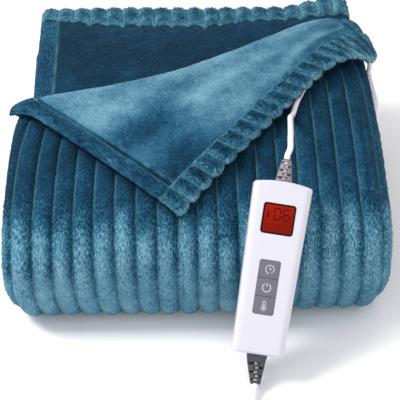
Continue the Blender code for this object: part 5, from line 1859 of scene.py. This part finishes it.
class DressController(bpy.types.Operator):
    """Mould the controller's shell, display and keys"""

    bl_idname = "heated_blanket.dress_controller"
    bl_label = "Dress Controller"

    def execute(self, context):
        own = settings().controller
        place = controller_place()
        levels = body_levels(SHELL_DEPTH, 12, SHELL_FACE_ROUND, SHELL_BACK_ROUND, SHELL_PARTING, own.parting_depth)
        loops = [placed(at_height(shell_outline(inset), -depth), place) for depth, inset in levels]
        shell = loft("controller_case", loops[::-1])
        width, height = DISPLAY_SIZE
        window = rounded_outline(box_corners(width + 2 * GAP, height + 2 * GAP, DISPLAY_AT), DISPLAY_CORNER, 8)
        cut(shell, window, -DISPLAY_DEPTH, place)
        pad_height = KEY_PITCH * (len(KEYS) - 1) + KEY_SIZE[1] + 2 * GAP
        pad = rounded_outline(box_corners(KEY_SIZE[0] + 2 * GAP, pad_height, KEY_PAD_AT), KEY_CORNER + GAP, 8)
        cut(shell, pad, -KEY_POCKET, place)
        flat_shade(shell, 32.0)
        plastic = moulded("white_shell", own.shell, 0.34, 700.0, 0.00003, 0.012, Coat_Weight=0.25,
                          Coat_Roughness=0.25)
        dress(shell, plastic, "shell", "controller_shell")
        self.dress_display(own, place)
        self.dress_keys(own, place)
        return {"FINISHED"}

    def dress_display(self, own, place):
        """The lit window, its dark rim, and the digits and marks on it."""
        make = Maker("lit_display", Roughness=0.35, Specular_IOR_Level=0.03, Coat_Weight=0.03, Coat_Roughness=0.1,
                     Emission_Strength=0.25)
        height = make.node("SeparateXYZ", Vector=make.coordinates()).outputs["Z"]
        low, high = (corner[2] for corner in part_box("display_window"))
        lit = make.node("MapRange", Value=height, From_Min=low, From_Max=high).outputs["Result"]
        glow = make.sum((lit, 0.7, 0.1), (make.noise(make.coordinates(), 60.0, 2.0), 0.5, -0.2))
        colour = make.mix(glow, darker(own.display, 0.45), own.display)
        make.fill(make.shader, {"Base Color": colour, "Emission Color": colour})
        paint(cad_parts["display_window"], make.material)
        size = np.array(DISPLAY_SIZE) - 2 * RIM_INSET
        path = rounded_outline(box_corners(*size, DISPLAY_AT), DISPLAY_CORNER - RIM_INSET, 10)
        rim = moulded("display_rim", own.rim, 0.4, 900.0, 0.00002, 0.05, Specular_IOR_Level=0.08)
        border = stroke(path, RIM_WIDTH, (PRINT_GAP, RIM_HEIGHT), closed=True)
        dress(marks_piece("display_border", [border], place), rim, "display")
        span = (PRINT_GAP, PRINT_GAP + own.mark_height)
        faint = tuple(0.55 * a + 0.45 * b for a, b in zip(own.display, own.digits))
        for name, row, dots, bars, inked, colour in (
            ("display_digits", LARGE_DIGITS, LARGE_DOTS, LARGE_BARS, "display_segments", own.digits),
            ("display_minutes", SMALL_DIGITS, (), SMALL_BARS, "faint_segments", faint),
        ):
            shapes = digit_shapes(*row, span)
            shapes += [dot(np.add(DISPLAY_AT, at), radius, span) for at, radius in dots]
            shapes += [bar(np.add(DISPLAY_AT, start), np.add(DISPLAY_AT, stop), width, span)
                       for start, stop, width in bars]
            ink = moulded(inked, colour, 0.5, 900.0, 0.00001, 0.05, Specular_IOR_Level=0.05)
            dress(marks_piece(name, shapes, place), ink, "display")

    def dress_keys(self, own, place):
        """Three soft keys with rounded upper edges, each with its mark, riding on its own body."""
        rubber = moulded("soft_keys", own.keys, 0.55, 2200.0, 0.00008, 0.05)
        print_white = moulded("key_marks", own.icons, 0.6, 900.0, 0.00001, 0.03)
        for i, name in enumerate(KEYS):
            middle = (place[0], placed((KEY_PAD_AT[0], KEY_PAD_AT[1] + KEY_PITCH * (1 - i), 0.0), place))
            cap = key_cap(name + "_cap", i, middle)
            flat_shade(cap, 50.0)
            dress(cap, rubber, "keys", name, body=name)
            mark = marks_piece(name + "_mark", key_shapes(name, (KEY_PROUD, KEY_PROUD + own.mark_height)), middle)
            dress(mark, print_white, "keys", body=name)


class MouldReliefs(bpy.types.Operator):
    """Mould the slotted strain reliefs"""

    bl_idname = "heated_blanket.mould_reliefs"
    bl_label = "Mould Strain Reliefs"

    def execute(self, context):
        own = settings()
        place = controller_place()
        for name, route, sizes, rubber, colour, node in (
            ("upper_sleeve", upper_relief_route, UPPER_SLEEVE, "light_rubber", own.controller.upper_relief,
             "upper_relief"),
            ("lower_sleeve", lower_relief_route, LOWER_SLEEVE, "dark_rubber", own.controller.lower_relief,
             "lower_relief"),
        ):
            piece = slotted_relief(name, route(place)[0], place[0][0], *sizes)
            dress(piece, relief_material(rubber, colour, own.cords.sheath), node, node)
        return {"FINISHED"}


class FitConnector(bpy.types.Operator):
    """Mould the connector's housing and its neck"""

    bl_idname = "heated_blanket.fit_connector"
    bl_label = "Fit Connector"

    def execute(self, context):
        own = settings().controller
        width, length, height = CONNECTOR_SIZE
        loops = []
        for share, inset in body_levels(1, 9, *CONNECTOR_ROUNDS, CONNECTOR_PARTING, CONNECTOR_GROOVE):
            outline = rounded_outline(box_corners(length - 2 * inset, height - 2 * inset), CONNECTOR_ROUND, 10)
            loops.append(np.column_stack([np.full(len(outline), width * (share - 0.5)), outline]) + CONNECTOR_AT)
        housing = loft("connector_case", loops)
        flat_shade(housing, 40.0)
        plastic = moulded("white_connector", own.shell, 0.36, 700.0, 0.00003, 0.012, Coat_Weight=0.2,
                          Coat_Roughness=0.3)
        dress(housing, plastic, "shell", "blanket_connector")
        soften(paint(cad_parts["connector_neck"], plastic), 0.0003)
        return {"FINISHED"}


class BuildStage(bpy.types.Operator):
    """Lay the floor and set the lights"""

    bl_idname = "heated_blanket.build_stage"
    bl_label = "Build Stage"

    def execute(self, context):
        own = settings().stage
        floor = mesh_object("floor", at_height(box_corners(FLOOR_SIDE, FLOOR_SIDE), 0.0), [np.array([[0, 1, 2, 3]])])
        paint(floor, moulded("plain_floor", own.floor, 0.7, 300.0, 0.0, 0.004))
        self.light(context, *MAIN_LIGHT, own.key_power)
        self.light(context, *FRONT_LIGHT, own.fill_power)
        world = bpy.data.worlds.new("soft_sky")
        world.use_nodes = True
        background = world.node_tree.nodes["Background"]
        background.inputs["Color"].default_value = SKY_COLOUR
        background.inputs["Strength"].default_value = own.sky
        context.scene.world = world
        context.scene.view_settings.view_transform = "Standard"
        return {"FINISHED"}

    def light(self, context, name, at, size, power):
        """A square light that faces the stack."""
        data = bpy.data.lights.new(name, "AREA")
        data.size = size
        data.energy = power
        lamp = bpy.data.objects.new(name, data)
        lamp.location = at
        lamp.rotation_euler = (STACK_MIDDLE - Vector(at)).to_track_quat("-Z", "Y").to_euler()
        context.scene.collection.objects.link(lamp)


OPERATORS = (PlaceCamera, RouteCords, FoldCloth, DressController, MouldReliefs, FitConnector, BuildStage)


class BlanketSettings(bpy.types.PropertyGroup):
    """All sizes and colours of the heated blanket."""

    cloth: bpy.props.PointerProperty(type=ClothSettings, name="Cloth", description="The ribbed throw")
    controller: bpy.props.PointerProperty(type=ControllerSettings, name="Controller", description="Hand controller")
    cords: bpy.props.PointerProperty(type=CordSettings, name="Cords", description="Cords and plug")
    stage: bpy.props.PointerProperty(type=StageSettings, name="Stage", description="Floor and lights")


class BlanketPanel(bpy.types.Panel):
    """Shows the heated blanket's settings and operators in the sidebar"""

    bl_idname = "VIEW3D_PT_heated_blanket"
    bl_label = "Heated Blanket"
    bl_space_type = "VIEW_3D"
    bl_region_type = "UI"
    bl_category = "Heated Blanket"

    def draw(self, context):
        own = context.scene.heated_blanket
        for group in (own.cloth, own.controller, own.cords, own.stage):
            box = self.layout.box()
            for key in group.bl_rna.properties.keys():
                if key not in ("rna_type", "name"):
                    box.prop(group, key)
        for operator in OPERATORS:
            self.layout.operator(operator.bl_idname)


CLASSES = (
    ClothSettings, ControllerSettings, CordSettings, StageSettings, BlanketSettings, *OPERATORS, BlanketPanel,
)


def register():
    for each in CLASSES:
        bpy.utils.register_class(each)
    bpy.types.Scene.heated_blanket = bpy.props.PointerProperty(type=BlanketSettings)


def unregister():
    del bpy.types.Scene.heated_blanket
    for each in reversed(CLASSES):
        bpy.utils.unregister_class(each)


def main():
    register()
    for operator in OPERATORS:
        group, name = operator.bl_idname.split(".")
        getattr(getattr(bpy.ops, group), name)()


if __name__ == "__main__":
    main()
